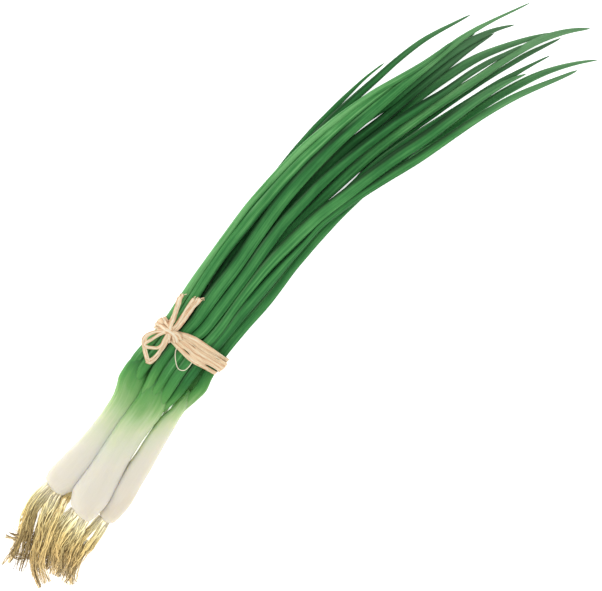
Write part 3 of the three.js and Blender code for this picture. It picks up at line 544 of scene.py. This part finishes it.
# How strong the veins' colour and relief are, how rough the skin is, and the shader's own constants.
SKIN_LOOKS = {
    "stem": {
        "veins": 0.02, "relief": 0.2, "roughness": 0.5,
        "shader": {
            "Specular_IOR_Level": 0.25, "Subsurface_Weight": 0.8,
            "Subsurface_Radius": (0.008, 0.007, 0.004), "Subsurface_Scale": 1,
        },
    },
    "leaf": {"veins": 0.1, "relief": 0.45, "roughness": 0.42, "shader": {"Specular_IOR_Level": 0.14}},
}
FINE_RELIEF, RAFFIA_RELIEF = 0.0003, 0.0004  # metres

ROOT_COLORS = [
    (0, (234, 226, 200)), (0.16, (218, 208, 162)), (0.34, (207, 187, 127)), (0.65, (195, 169, 111)),
    (1, (214, 192, 146)),
]  # by the share of a root's length from the plate
# A dark brown, partly the roots' own colour and partly painted shade among them.
ROOT_DARK_AND_SHADE = (98, 72, 22)
# The raffia's colours by tint; the folds' heights in the tint paint shade into the valleys and highlights
# onto the ridges.
RAFFIA_COLORS = [
    (0, (176, 126, 84)), (0.25, (226, 180, 138)), (0.5, (243, 212, 172)), (0.75, (248, 226, 190)),
    (1, (252, 240, 214)),
]  # from its valleys to its ridges


def onion_finish(slot):
    f = Finish("onion_" + slot)
    look = SKIN_LOOKS[slot]
    grain = f.attribute("grain", "Vector")
    fine, broad, streaks, veins = (
        f.noise(f.scaled(grain, repeats), detail=detail, roughness=roughness)
        for repeats, detail, roughness in SKIN_PATTERNS.values()
    )
    place = f.varied(f.attribute("place"), (broad, 4), (streaks, 3), (fine, 1.5))
    tone = f.varied(f.attribute("tone"), (broad, 0.3), (streaks, 0.5), (fine, 0.12))
    leafy = f.ramp(tone, LEAF_GREENS)
    leafy = f.mix(f.spread(place, TIPWARD_PLACES, (0, TIPWARD_SHARE)), leafy, linear(TIPWARD))
    # A painted highlight along the lit edge, then painted shade in the creases.
    leafy = f.mix(f.times(f.attribute("edge"), EDGE_HIGHLIGHT_SHARE), leafy, linear(EDGE_HIGHLIGHT))
    leafy = f.mix(f.times(f.attribute("crease"), CREASE_SHADE_SHARE), leafy, linear(CREASE_SHADE))
    color = f.mix(f.spread(place, TURNS_TO_LEAF), f.ramp(place, SKIN), leafy)
    color = f.shaded(color, f.varied(1, (fine, 0.02), (veins, look["veins"])))
    normal = f.bump(f.varied(veins, (fine, 0.5)), look["relief"], FINE_RELIEF)
    return f.done(color, f.varied(look["roughness"], (fine, 0.07)), normal, **look["shader"])


def root_finish():
    f = Finish("dry_root")
    along, tint = f.attribute("along"), f.attribute("tint")
    patch = f.noise(f.attribute("grain", "Vector"))
    color = f.ramp(f.varied(along, (patch, 0.12)), ROOT_COLORS)
    # The darkest strands are nearly the dark brown, less so by the plate, and the lightest are much
    # brighter: partly the strands' own colours, and partly painted shade among the under-layers and painted
    # highlights on the palest strands.
    dark = f.times(f.spread(tint, (0, 0.6), (0.9, 0)), f.spread(along, (0, 0.3), (0.5, 1)))
    shade = f.varied(f.spread(tint, (0.6, 1), (1, 1.7)), (patch, 0.12))
    color = f.shaded(f.mix(dark, color, linear(ROOT_DARK_AND_SHADE)), shade)
    return f.done(color, f.varied(0.55, (patch, 0.12)), f.bump(patch, 0.5, FINE_RELIEF))


def raffia_finish():
    f = Finish("raffia")
    grain = f.attribute("grain", "Vector")
    fibre = f.noise(f.scaled(grain, (2.6, 2.6, 0.1)), detail=5, roughness=0.65)
    patch = f.noise(f.scaled(grain, (0.4, 0.4, 0.1)), detail=3)
    color = f.ramp(f.varied(f.attribute("tint"), (fibre, 0.38), (patch, 0.18)), RAFFIA_COLORS)
    normal = f.bump(fibre, 0.8, RAFFIA_RELIEF)
    return f.done(color, f.varied(0.62, (fibre, 0.12)), normal, Specular_IOR_Level=0.35)


# ---- stems and leaves

# How much a tube's width, a dent's depth and a leaf's tone vary along it, the first two as shares.
SWELLS, DENT_VARIES, TONE_VARIES = 0.012, 0.5, 0.25
STEM_TONE = 0.2
# A stem's dents are all alike: their width and drift are in radians, their depth a share of its half size.
STEM_DENTS = 7
STEM_DENT = {"width": 0.14, "drift": 0.3, "depth": 0.016}
# A painted highlight along a leaf's lit +Y side, partly its own pale margin: the shares of its half width
# where it begins, is lightest and ends, and how light it is on average, from 0 to 1.
EDGE_HIGHLIGHT_LINE, EDGE_HIGHLIGHT_MEAN = (0.5, 0.75, 0.92), 0.2
# A crease's painted shade begins and is darkest at these shares of the half width from the middle line. The
# one on the +Y side grows wider by the share given, between two X in mm.
PLUS_CREASE_SHADE, MINUS_CREASE_SHADE = (0.3, 0.9), (0.5, 1)
CREASE_SHADE_WIDENS, WIDENS_FROM, WIDENS_TO = 0.35, 60, 100
# How dark a crease's painted shade is near the band, as a share, the X in mm between which it darkens, and
# the mm over which it ends.
CREASE_SHADE_AT_BAND, DARKENS_FROM, DARKENS_TO, CREASE_SHADE_ENDS_OVER = 0.4, -60, 20, 50
# Towards its tip a leaf is fuller than its solid by the first share, between the next two shares of its
# length, and it rounds off to TIP_LEAST over TIP_END, the last share.
TIP_FULLER, TIP_FROM, TIP_TO = 0.15, 0.8, 0.96
TIP_END, TIP_LEAST = 0.015, 0.05


def onion_of(node):
    """The letter of the onion that a stem or leaf belongs to: a for stem_a and leaf_a1."""
    return node.split("_")[1][0]


def onion_tube(rows, slot, power, rng, dents):
    """Rings square to X from rows of [x, y, z, half width, half height], with lengthwise dents; the rings'
    angles; and how far across the tube each point lies, from -1 to 1."""
    tube = TUBES[slot]
    angle = full_turn(tube["sides"])
    across, up = superellipse(angle[None], np.broadcast_to(power, len(rows))[:, None])
    share = np.linspace(0, 1, len(rows))
    swell = 1 + SWELLS * waves(rng, 4, 2)(share)
    side = tube["wander"] * waves(rng, 3, 3)(share)
    shrink = np.ones((len(rows), len(angle)))
    for dent in dents:
        middle = dent["at"] + dent["drift"] * waves(rng, 2, 1)(share)
        off = (angle[None] - middle[:, None] + math.pi) % math.tau - math.pi
        deep = dent["depth"] * (1 + DENT_VARIES * waves(rng, 3, 2)(share))
        shrink -= deep[:, None] * np.exp(-((off / dent["width"]) ** 2))
    y = rows[:, None, 1] + side[:, None] + (rows[:, 3] * swell)[:, None] * across * shrink
    z = rows[:, None, 2] + (rows[:, 4] * swell)[:, None] * up * shrink
    return rings_of(rows[:, None, 0], y, z), angle, across


def add_onion(node, slot, rows, power, rng, dents, tone, creases, material):
    """A stem or leaf in place of its node. Its tone is how light it is, its own colour with painted light
    and shade, and its crease shades how dark the painted shade is along its +Y side and its -Y side, from 0
    to 1: each is one number, or one for each row."""
    rings, angle, across = onion_tube(rows, slot, power, rng, dents)
    further, sooner = GREENING[onion_of(node)]
    place = rings[..., 0] - further + sooner * (rings[..., 1] - rows[:, None, 1])
    # How strong the painted highlight along the +Y edge is, row by row.
    light = np.clip(EDGE_HIGHLIGHT_MEAN + waves(rng, 3, 2)(np.linspace(0, 1, len(rows))), 0, 1)
    begins, lightest, ends = EDGE_HIGHLIGHT_LINE
    edge = ease(across, begins, lightest) * (1 - ease(across, lightest, ends)) * light[:, None]
    plus_shade, minus_shade = (np.broadcast_to(side, len(rows))[:, None] for side in creases)
    wider = CREASE_SHADE_WIDENS * ease(rows[:, :1], WIDENS_FROM, WIDENS_TO)
    # Painted shade along each side of the leaf, where it meets its neighbours.
    crease = plus_shade * ease(across + wider, *PLUS_CREASE_SHADE) + minus_shade * ease(-across, *MINUS_CREASE_SHADE)
    grain = grain_round(angle, length_along(rows[:, :3]), TUBES[slot]["radius"], rng)
    body = Body()
    body.add(rings, grain, place=place, edge=edge, crease=crease, tone=tone)
    body.piece(node, material)


def stem(node, material):
    rng = random.Random(node)
    rows = smooth(centred(STEMS[node]), TUBES["stem"]["rings"])
    rows[:, 3:] /= 2
    rows[:, 3] *= STEM_FULLER
    power = BULB_POWER + (NECK_POWER - BULB_POWER) * ease(rows[:, 0], BULB_TO, NECK_FROM)
    dents = [{"at": rng.uniform(0, math.tau), **STEM_DENT} for _ in range(STEM_DENTS)]
    add_onion(node, "stem", rows, power, rng, dents, STEM_TONE, (0, 0), material)


def leaf_rows(node):
    """Rows [x, y, z, half width, half height] of a leaf, read from its solid's rings, and carried back
    into the neck of its stem."""
    points = np.array([v.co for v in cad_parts[node].data.vertices]) / MM
    keys = np.round(points[:, 0], 2)
    rows = []
    for key in np.unique(keys):
        ring = points[keys == key]
        low, high = ring.min(0), ring.max(0)
        rows.append([key, *(low + high)[1:] / 2, *(high - low)[1:] / 2])
    stem_rows = centred(STEMS["stem_" + onion_of(node)])
    x, y, z, wide, high = rows[0]
    back = []
    for behind, shift, wide_share, high_share in INTO_NECK:
        stem_y, stem_z = (np.interp(x - behind, stem_rows[:, 0], stem_rows[:, k]) for k in (1, 2))
        y_there, z_there = y + shift * (stem_y - y), z + shift * (stem_z - z)
        back.append([x - behind, y_there, z_there, wide * wide_share, high * high_share])
    rows = np.array(back + rows)
    length = length_along(rows[:, :3])
    even = np.linspace(0, length[-1], LEAF_ROWS)
    return np.stack([np.interp(even, length, rows[:, k]) for k in range(5)], 1)


def leaf_dents(rng):
    """Two dents along the top of a leaf, each of its own depth, and a broad one below."""
    dents = []
    for between, width, drift, depths in TOP_DENTS:
        at = math.pi * rng.uniform(*between)
        dents.append({"at": at, "width": width, "drift": drift, "depth": rng.uniform(*depths)})
    return [*dents, {"at": math.pi * rng.uniform(*LOW_DENT_BETWEEN), **LOW_DENT}]


def leaf(node, material):
    rng = random.Random(node)
    near, far, fuller, plus_shade, minus_shade, until = LEAVES[node]
    rows = smooth(leaf_rows(node), TUBES["leaf"]["rings"])
    x = rows[:, 0]
    aside, start, end = LEAVES_ASIDE.get(node, (0, 0, 1))
    rows[:, 1] += aside * ease(x, start, end)
    share = np.linspace(0, 1, len(rows))
    tip = 1 + TIP_FULLER * ease(share, TIP_FROM, TIP_TO)
    tip = tip * np.sqrt(np.clip((1 - share) / TIP_END, TIP_LEAST, 1))
    rows[:, 3] *= (fuller + (APART_FULLER - fuller) * ease(x, FULL_TO, APART_FROM)) * tip
    rows[:, 4] *= tip
    dents = leaf_dents(rng)
    # The painted crease shade is weaker near the band and fades out past the X given for the leaf.
    dark = CREASE_SHADE_AT_BAND + (1 - CREASE_SHADE_AT_BAND) * ease(x, DARKENS_FROM, DARKENS_TO)
    dark = dark * (1 - ease(x, until, until + CREASE_SHADE_ENDS_OVER))
    creases = [np.clip(side * dark, 0, 1) for side in (plus_shade, minus_shade)]
    # The tone holds painted light and shade as well as the leaf's own green.
    tone = near + (far - near) * ease(x, TONE_NEAR, TONE_FAR) + TONE_VARIES * waves(rng, 2, 1)(share)
    add_onion(node, "leaf", rows, LEAF_POWER, rng, dents, tone, creases, material)


# ---- roots

ROOT_SIDES, ROOT_RINGS, LOCK_POINTS = 6, 36, 120
HAIRS_TO_A_ROOT = 0.6
ROOT_RADII, HAIR_RADII = (0.28, 0.55), (0.13, 0.2)  # mm
HAIRS_START = 0.5  # the furthest along its lock that a hair starts, as a share
# A lock's first roots run all its length. The others end sooner, by up to the share given, and taper more.
FULL_ROOTS = 4
ENDS_SOONER, SOONER_POWER = 0.28, 1.3
THICK_AT_PLATE, FULL_TAPER, TAPER, TAPER_POWER = 1.1, 0.45, 0.75, 1.3
# How far a root leaves its place in its lock: its drift to one side and its sway, in widths of the lock;
# and its kinks to the side and up, in mm, which set in between two shares of its length.
DRIFT, SWAY, FLATTER = 0.35, 0.3, 0.6
KINK_ASIDE, KINK_UP, KINKS_FROM, KINKS_FULL = 0.45, 0.2, 0.1, 0.5
# How far a root's end strays, in mm: most roots a little, and hairs and one root in four further.
STRAYS, STRAYS_FAR, FAR_STRAYERS, STRAYS_FROM = 0.6, 2, 0.25, 0.5
ROOT_SWELLS = 0.14  # how much a root's thickness varies along it, as a share
TINT_VARIES = 0.38
# The radius in mm that a root's finish is laid out on, and how much finer it is along the root.
ROOT_GRAIN, GRAIN_FINER = 0.5, 6
# The plate that the roots grow from: how far it starts inside the bulb and how long it is, in mm; its
# radius, as a share of its size; how blunt its end is; and the lumps round it and along it.
PLATE_RINGS, PLATE_SIDES = 12, 40
PLATE_INSIDE, PLATE_LENGTH, PLATE_RADIUS, PLATE_BLUNT = 3, 4.6, 0.42, 2.5
LUMPS, LUMP_HEIGHT = 9, 0.08
PLATE_GRAIN = (30, 4)  # the length and radius on which its finish is laid out


def round_tube(path, radius, sides):
    """Rings of a round tube along a path of points."""
    along = unit(np.gradient(path, axis=0))
    across = unit(np.cross(along, [0, 0, 1]))
    up = np.cross(across, along)
    angle = full_turn(sides)
    ring = np.cos(angle)[None, :, None] * across[:, None] + np.sin(angle)[None, :, None] * up[:, None]
    return path[:, None] + radius[:, None, None] * ring


def root_strand(body, rng, lock, is_hair, is_full):
    """One root or hair of a lock, at a place in it drawn from rng."""
    route, start_width, end_width, _, light = lock
    share = np.linspace(0, 1, ROOT_RINGS)
    reach = 1 if is_full else 1 - ENDS_SOONER * rng.random() ** SOONER_POWER
    begin = rng.uniform(0, HAIRS_START) if is_hair else 0
    place = begin + share * (reach - begin)
    fine = smooth(centred(route), LOCK_POINTS)
    path = np.stack([np.interp(place, np.linspace(0, 1, LOCK_POINTS), fine[:, k]) for k in range(3)], 1)
    side = unit(np.cross([0, 0, 1], unit(np.gradient(path, axis=0))))
    turn, out = rng.uniform(0, math.tau), math.sqrt(rng.random())
    width = start_width + (end_width - start_width) * place
    kinks = waves(rng, 3, 3)(share) * ease(share, KINKS_FROM, KINKS_FULL)
    drift = rng.gauss(0, DRIFT) * place + SWAY * waves(rng, 3, 1.2)(share)
    stray = rng.gauss(0, 1) * ease(share, STRAYS_FROM, 1)
    stray = stray * (STRAYS_FAR if is_hair or rng.random() < FAR_STRAYERS else STRAYS)
    path = path + side * (width * (out * math.cos(turn) + drift) + stray + KINK_ASIDE * kinks)[:, None]
    rise = out * math.sin(turn) + SWAY * waves(rng, 3, 1.5)(share)
    path[:, 2] += FLATTER * width * rise + KINK_UP * kinks
    thick = rng.uniform(*(HAIR_RADII if is_hair else ROOT_RADII))
    taper = FULL_TAPER if is_full else TAPER
    radius = thick * (THICK_AT_PLATE - taper * share**TAPER_POWER)
    radius = radius * (1 + ROOT_SWELLS * waves(rng, 3, 5)(share))
    path[:, 2] = np.maximum(path[:, 2], radius + KEPT_INSIDE)
    grain = grain_round(full_turn(ROOT_SIDES), length_along(path), ROOT_GRAIN, rng)
    grain[..., 2] *= GRAIN_FINER
    # A root's tint is its lock's lightness, varied: partly its own colour, partly painted shade and
    # highlight.
    tint = np.clip(light + rng.gauss(0, TINT_VARIES), 0, 1)
    body.add(round_tube(path, radius, ROOT_SIDES), grain, along=place, tint=tint)


def root_plate(body, rng, middle, size):
    """The rough end of the bulb that the roots grow from."""
    share = np.linspace(0, 1, PLATE_RINGS)
    x, y, z = centred(middle)
    angle = full_turn(PLATE_SIDES)
    radius = PLATE_RADIUS * size * np.sqrt(np.maximum(1 - share**PLATE_BLUNT, LEAST_END))
    rough = 1 + LUMP_HEIGHT * np.sin(angle * LUMPS + 1)[None] * np.sin(share * LUMPS)[:, None]
    rings = rings_of(
        (x + PLATE_INSIDE - PLATE_LENGTH * share)[:, None],
        y + radius[:, None] * np.cos(angle)[None] * rough,
        z + radius[:, None] * np.sin(angle)[None] * rough,
    )
    length, wide = PLATE_GRAIN
    grain = grain_round(angle, share * length, wide, rng)
    body.add(rings[:, ::-1], grain, along=0.05, tint=0.5)


def tuft(node, material):
    rng = random.Random(node)
    body = Body()
    root_plate(body, rng, *PLATES[node])
    for lock in LOCKS[node]:
        strands = lock[3]
        for i in range(int(strands * (1 + HAIRS_TO_A_ROOT))):
            root_strand(body, rng, lock, is_hair=i >= strands, is_full=i < FULL_ROOTS)
    body.piece(node, material)


# ---- raffia


def add_strip(body, path, normals, width, rng, arch, wrinkle, tint):
    """A thin strip of raffia along a path: flat, slightly arched, and wrinkled along its length. width is
    in mm at each point of the path, arch is a share of it, and wrinkle is how high its folds are in mm."""
    along = unit(np.gradient(path, axis=0))
    across = unit(np.cross(normals, along))
    up = np.cross(along, across)
    share = np.linspace(0, 1, len(path))
    u = np.linspace(-1, 1, STRIP_POINTS)
    top = (arch * width)[:, None] * (1 - u * u)[None]
    wide = (rng.uniform(*WIDE_FOLDS), waves(rng, 3, 1.2))
    narrow = (rng.uniform(*NARROW_FOLDS), waves(rng, 3, 1.6))
    finest = (FINEST_FOLDS, waves(rng, 3, 2))
    for rate, wave in (wide, narrow, finest):
        fold = np.cos(rate * u[None] + FOLDS_WANDER * wave(share)[:, None])
        top = top + wrinkle * fold / math.sqrt(rate)
    half = (width / 2)[:, None] * u[None]
    flat = path[:, None] + half[..., None] * across[:, None]
    upper = flat + (top + RAFFIA_THICK / 2)[..., None] * up[:, None]
    lower = flat + (top - RAFFIA_THICK / 2)[..., None] * up[:, None]
    rings = np.concatenate([upper, lower[:, ::-1]], 1)
    shift = rng.uniform(0, GRAIN_REACH)
    aside = np.concatenate([half, half[:, ::-1]], 1) + shift
    grain = rings_of(aside, shift * GRAINS_APART, length_along(path)[:, None] + shift)
    rim = np.concatenate([np.abs(u), np.abs(u[::-1])]) ** 6
    # The folds' relief lightens the tint on the ridges and darkens it in the valleys: painted highlight and
    # shade.
    relief = top - top.mean(1, keepdims=True)
    relief = np.concatenate([relief, relief[:, ::-1]], 1)
    body.add(rings, grain, tint=tint + RIM_LIGHTER * rim[None] + FOLD_PAINTED_SHADING * relief)


def on_oval(angle, out):
    """The y and z of the band's oval, out mm from the leaves, at the given angles."""
    y, z = superellipse(angle, BAND["squareness"])
    return BAND["y"] + (BAND["width"] / 2 + out) * y, BAND["z"] + (BAND["height"] / 2 + out) * z


def outward(angle):
    """The direction out from the band's oval at the given angles."""
    return unit(np.stack([np.zeros(len(angle)), *superellipse(angle, BAND["squareness"])], 1))


def band_edge(which, y, on_top):
    """The x of the band's first or second edge, 1 or 2, at y: by its table on top of the bunch, and
    straight from one end to the other below it."""
    edges = np.array(BAND_EDGES)
    ends = edges[[0, -1]]
    over, under = (np.interp(y, table[:, 0], table[:, which]) for table in (edges, ends))
    return np.where(on_top, over, under)


def slit(meeting, y, on_top):
    """How far apart the two strands at a meeting of the band stand at y, in mm."""
    apart = np.full(len(y), -STRANDS_OVERLAP)
    for which, start, end, width in BAND_SLITS:
        if which == meeting:
            share = (y - start) / (end - start)
            bulge = np.clip(4 * share * (1 - share), 0, 1) * (share > 0) * (share < 1) * on_top
            apart = apart + (width + STRANDS_OVERLAP) * np.sqrt(bulge)
    return apart


def band_strand(body, rng, k):
    """Strand k of the band, from its meeting k to the next, round the whole bunch."""
    angle = np.linspace(0, math.tau, STRAND_POINTS)[::-1]
    on_top = np.sin(angle) > TOP_FROM
    y, z = on_oval(angle, BAND_OUT + BAND_RISES[k] * np.abs(np.cos(angle)) ** 3)
    left, right = (band_edge(which, y, on_top) for which in (1, 2))
    low = left + (right - left) * BAND_MEETINGS[k]
    high = left + (right - left) * BAND_MEETINGS[k + 1]
    if k > 0:
        low = low + slit(k, y, on_top) / 2
    if k < len(BAND_RISES) - 1:
        high = high - slit(k + 1, y, on_top) / 2
    path = centred(np.stack([(low + high) / 2, y, z], 1))
    width = np.maximum(high - low, STRAND_LEAST)
    tint = rng.uniform(*STRAND_TINTS)
    add_strip(body, path, outward(angle), width, rng, arch=0.05, wrinkle=0.13, tint=tint)


def band_fibre(body, rng):
    """A loose fibre on the band, along a stretch of it drawn from rng."""
    start, end = sorted(rng.uniform(*FIBRE_ANGLES) for _ in range(2))
    angle = np.linspace(end, start - FIBRE_LEAST, FIBRE_POINTS)
    y, z = on_oval(angle, FIBRES_OUT)
    share = rng.uniform(*FIBRE_SHARES)
    x = band_edge(1, y, True) * (1 - share) + band_edge(2, y, True) * share
    x = x + FIBRES_WANDER * waves(rng, 2, 1)(np.linspace(0, 1, FIBRE_POINTS))
    width = np.full(len(angle), rng.uniform(*FIBRE_WIDTHS))
    path = centred(np.stack([x, y, z], 1))
    add_strip(body, path, outward(angle), width, rng, arch=0.1, wrinkle=0.03, tint=0.7)


def band(material):
    body = Body()
    rng = random.Random("band")
    for k in range(len(BAND_RISES)):
        band_strand(body, rng, k)
    for _ in range(BAND_FIBRES):
        band_fibre(body, rng)
    hoop = smooth(centred(HOOP), HOOP_POINTS)
    level = np.tile([0, 0, 1], (len(hoop), 1))
    add_strip(body, hoop, level, np.full(len(hoop), HOOP_WIDTH), rng, arch=0.1, wrinkle=0.02, tint=0.95)
    body.piece("raffia_band", material)


def bow_strip(body, rng, width, route, arch, rolls):
    """A strip of the bow. rolls is how far it rolls from side to side, in radians."""
    path = smooth(centred(route), ROUTE_FINER * len(route))
    share = np.linspace(0, 1, len(path))
    roll = rolls * waves(rng, 2, 1)(share)
    along = unit(np.gradient(path, axis=0))
    level = unit(np.cross([0, 0, 1], along))
    normals = np.cos(roll)[:, None] * np.cross(along, level) + np.sin(roll)[:, None] * level
    widths = width * (1 + STRIP_SWELLS * waves(rng, 3, 2)(share))
    tint = rng.uniform(*STRIP_TINTS)
    add_strip(body, path, normals, widths, rng, arch, wrinkle=0.15, tint=tint)


def knot_core(body, rng):
    """The solid middle of the knot, under its windings."""
    x, y, z = centred(KNOT["middle"])
    long, wide, high = KNOT["size"]
    share = np.linspace(-0.5, 0.5, KNOT["rings"])
    angle = full_turn(KNOT["sides"])
    radius = 0.5 * np.sqrt(np.maximum(1 - (2 * share) ** 2, LEAST_END))
    rings = rings_of(
        (x + long * share)[:, None],
        y + wide * radius[:, None] * np.cos(angle)[None],
        z + high * radius[:, None] * np.sin(angle)[None],
    )
    body.add(rings, grain_round(angle, share * long, KNOT["grain"], rng), tint=0.3)


def bow(material):
    body = Body()
    rng = random.Random("bow")
    knot_core(body, rng)
    for width, route in LOOPS + TAILS:
        bow_strip(body, rng, width, route, arch=0.1, rolls=0.45)
    for width, route in WINDINGS:
        bow_strip(body, rng, width, route, arch=0.16, rolls=0.1)
    for _, route in TAILS:
        for _ in range(LOOSE_TO_A_TAIL):
            stray = [np.add(at, [0, rng.gauss(0, LOOSE_ASIDE), -LOOSE_LOWER]) for at in route[2:]]
            end = [rng.uniform(*LOOSE_REACHES), rng.gauss(0, END_ASIDE), -END_LOWER]
            end = np.add(stray[-1], end)
            bow_strip(body, rng, rng.uniform(*LOOSE_WIDTHS), [*stray, end], arch=0.1, rolls=0.3)
    body.piece("raffia_bow", material)


# ---- stage

FLOOR_HALF, FLOOR_BELOW = 4, 0.0002  # metres; it lies just under the bunch
FLOOR_GLOW = 0.75  # the floor is opal plastic, lit a little from below
FLOOR_COLOR, WHITE = (0.96, 0.96, 0.96, 1), (1, 1, 1, 1)
# How bright the tent of light is at its sides and straight overhead, and the heights between which it dims.
TENT_LIGHT, TENT_HEIGHTS = (0.98, 0.9), (0.3, 1)
KEY_LIGHT = {"place": (-0.6, 0.7, 1.9), "size": 1.2, "power": 12}  # metres and watts


def floor():
    half = FLOOR_HALF
    corners = [(-half, -half, 0), (half, -half, 0), (half, half, 0), (-half, half, 0)]
    mesh = bpy.data.meshes.new("floor")
    mesh.from_pydata(corners, [], [(0, 1, 2, 3)])
    f = Finish("pale_floor")
    place = f.node("ShaderNodeNewGeometry").outputs["Position"]
    rough = f.varied(0.8, (f.noise(place, 8), 0.05))
    normal = f.bump(f.noise(place, 400), 0.02, 0.0002)
    f.done(FLOOR_COLOR, rough, normal, Emission_Color=WHITE, Emission_Strength=FLOOR_GLOW)
    mesh.materials.append(f.material)
    made = placed("floor", mesh)
    made.location.z = -FLOOR_BELOW


def light_tent():
    """Light from all round, a little dimmer overhead."""
    world = bpy.data.worlds.new("studio")
    nodes = Nodes(world)
    direction = nodes.node("ShaderNodeTexCoord").outputs["Generated"]
    height = nodes.node("ShaderNodeSeparateXYZ", Vector=direction).outputs["Z"]
    background = nodes.tree.nodes["Background"]
    nodes.put(background.inputs["Color"], WHITE)
    nodes.put(background.inputs["Strength"], nodes.spread(height, TENT_HEIGHTS, TENT_LIGHT))
    bpy.context.scene.world = world


def key_light():
    """A large soft light on one side."""
    light = bpy.data.lights.new("key", "AREA")
    light.shape = "DISK"
    light.size = KEY_LIGHT["size"]
    light.energy = KEY_LIGHT["power"]
    made = placed("key", light)
    made.location = KEY_LIGHT["place"]
    made.rotation_euler = Vector(KEY_LIGHT["place"]).to_track_quat("Z", "Y").to_euler()


def camera():
    data = bpy.data.cameras.new("camera")
    data.sensor_width = SENSOR
    data.sensor_fit = "HORIZONTAL"
    data.lens = SENSOR * CAMERA_HEIGHT / PICTURE_WIDTH
    made = placed("camera", data)
    x, y, z = LOOKED_AT
    made.location = (x * MM, y * MM, (z + CAMERA_HEIGHT) * MM)
    made.rotation_euler = (0, 0, math.radians(CAMERA_ROLL))
    bpy.context.scene.camera = made


camera()
light_tent()
key_light()
floor()
bpy.context.scene.view_settings.view_transform = "Standard"

stem_skin = onion_finish("stem")
leaf_skin = onion_finish("leaf")
for name in STEMS:
    stem(name, stem_skin)
for name in LEAVES:
    leaf(name, leaf_skin)
dry_root = root_finish()
for name in LOCKS:
    tuft(name, dry_root)
raffia = raffia_finish()
band(raffia)
bow(raffia)
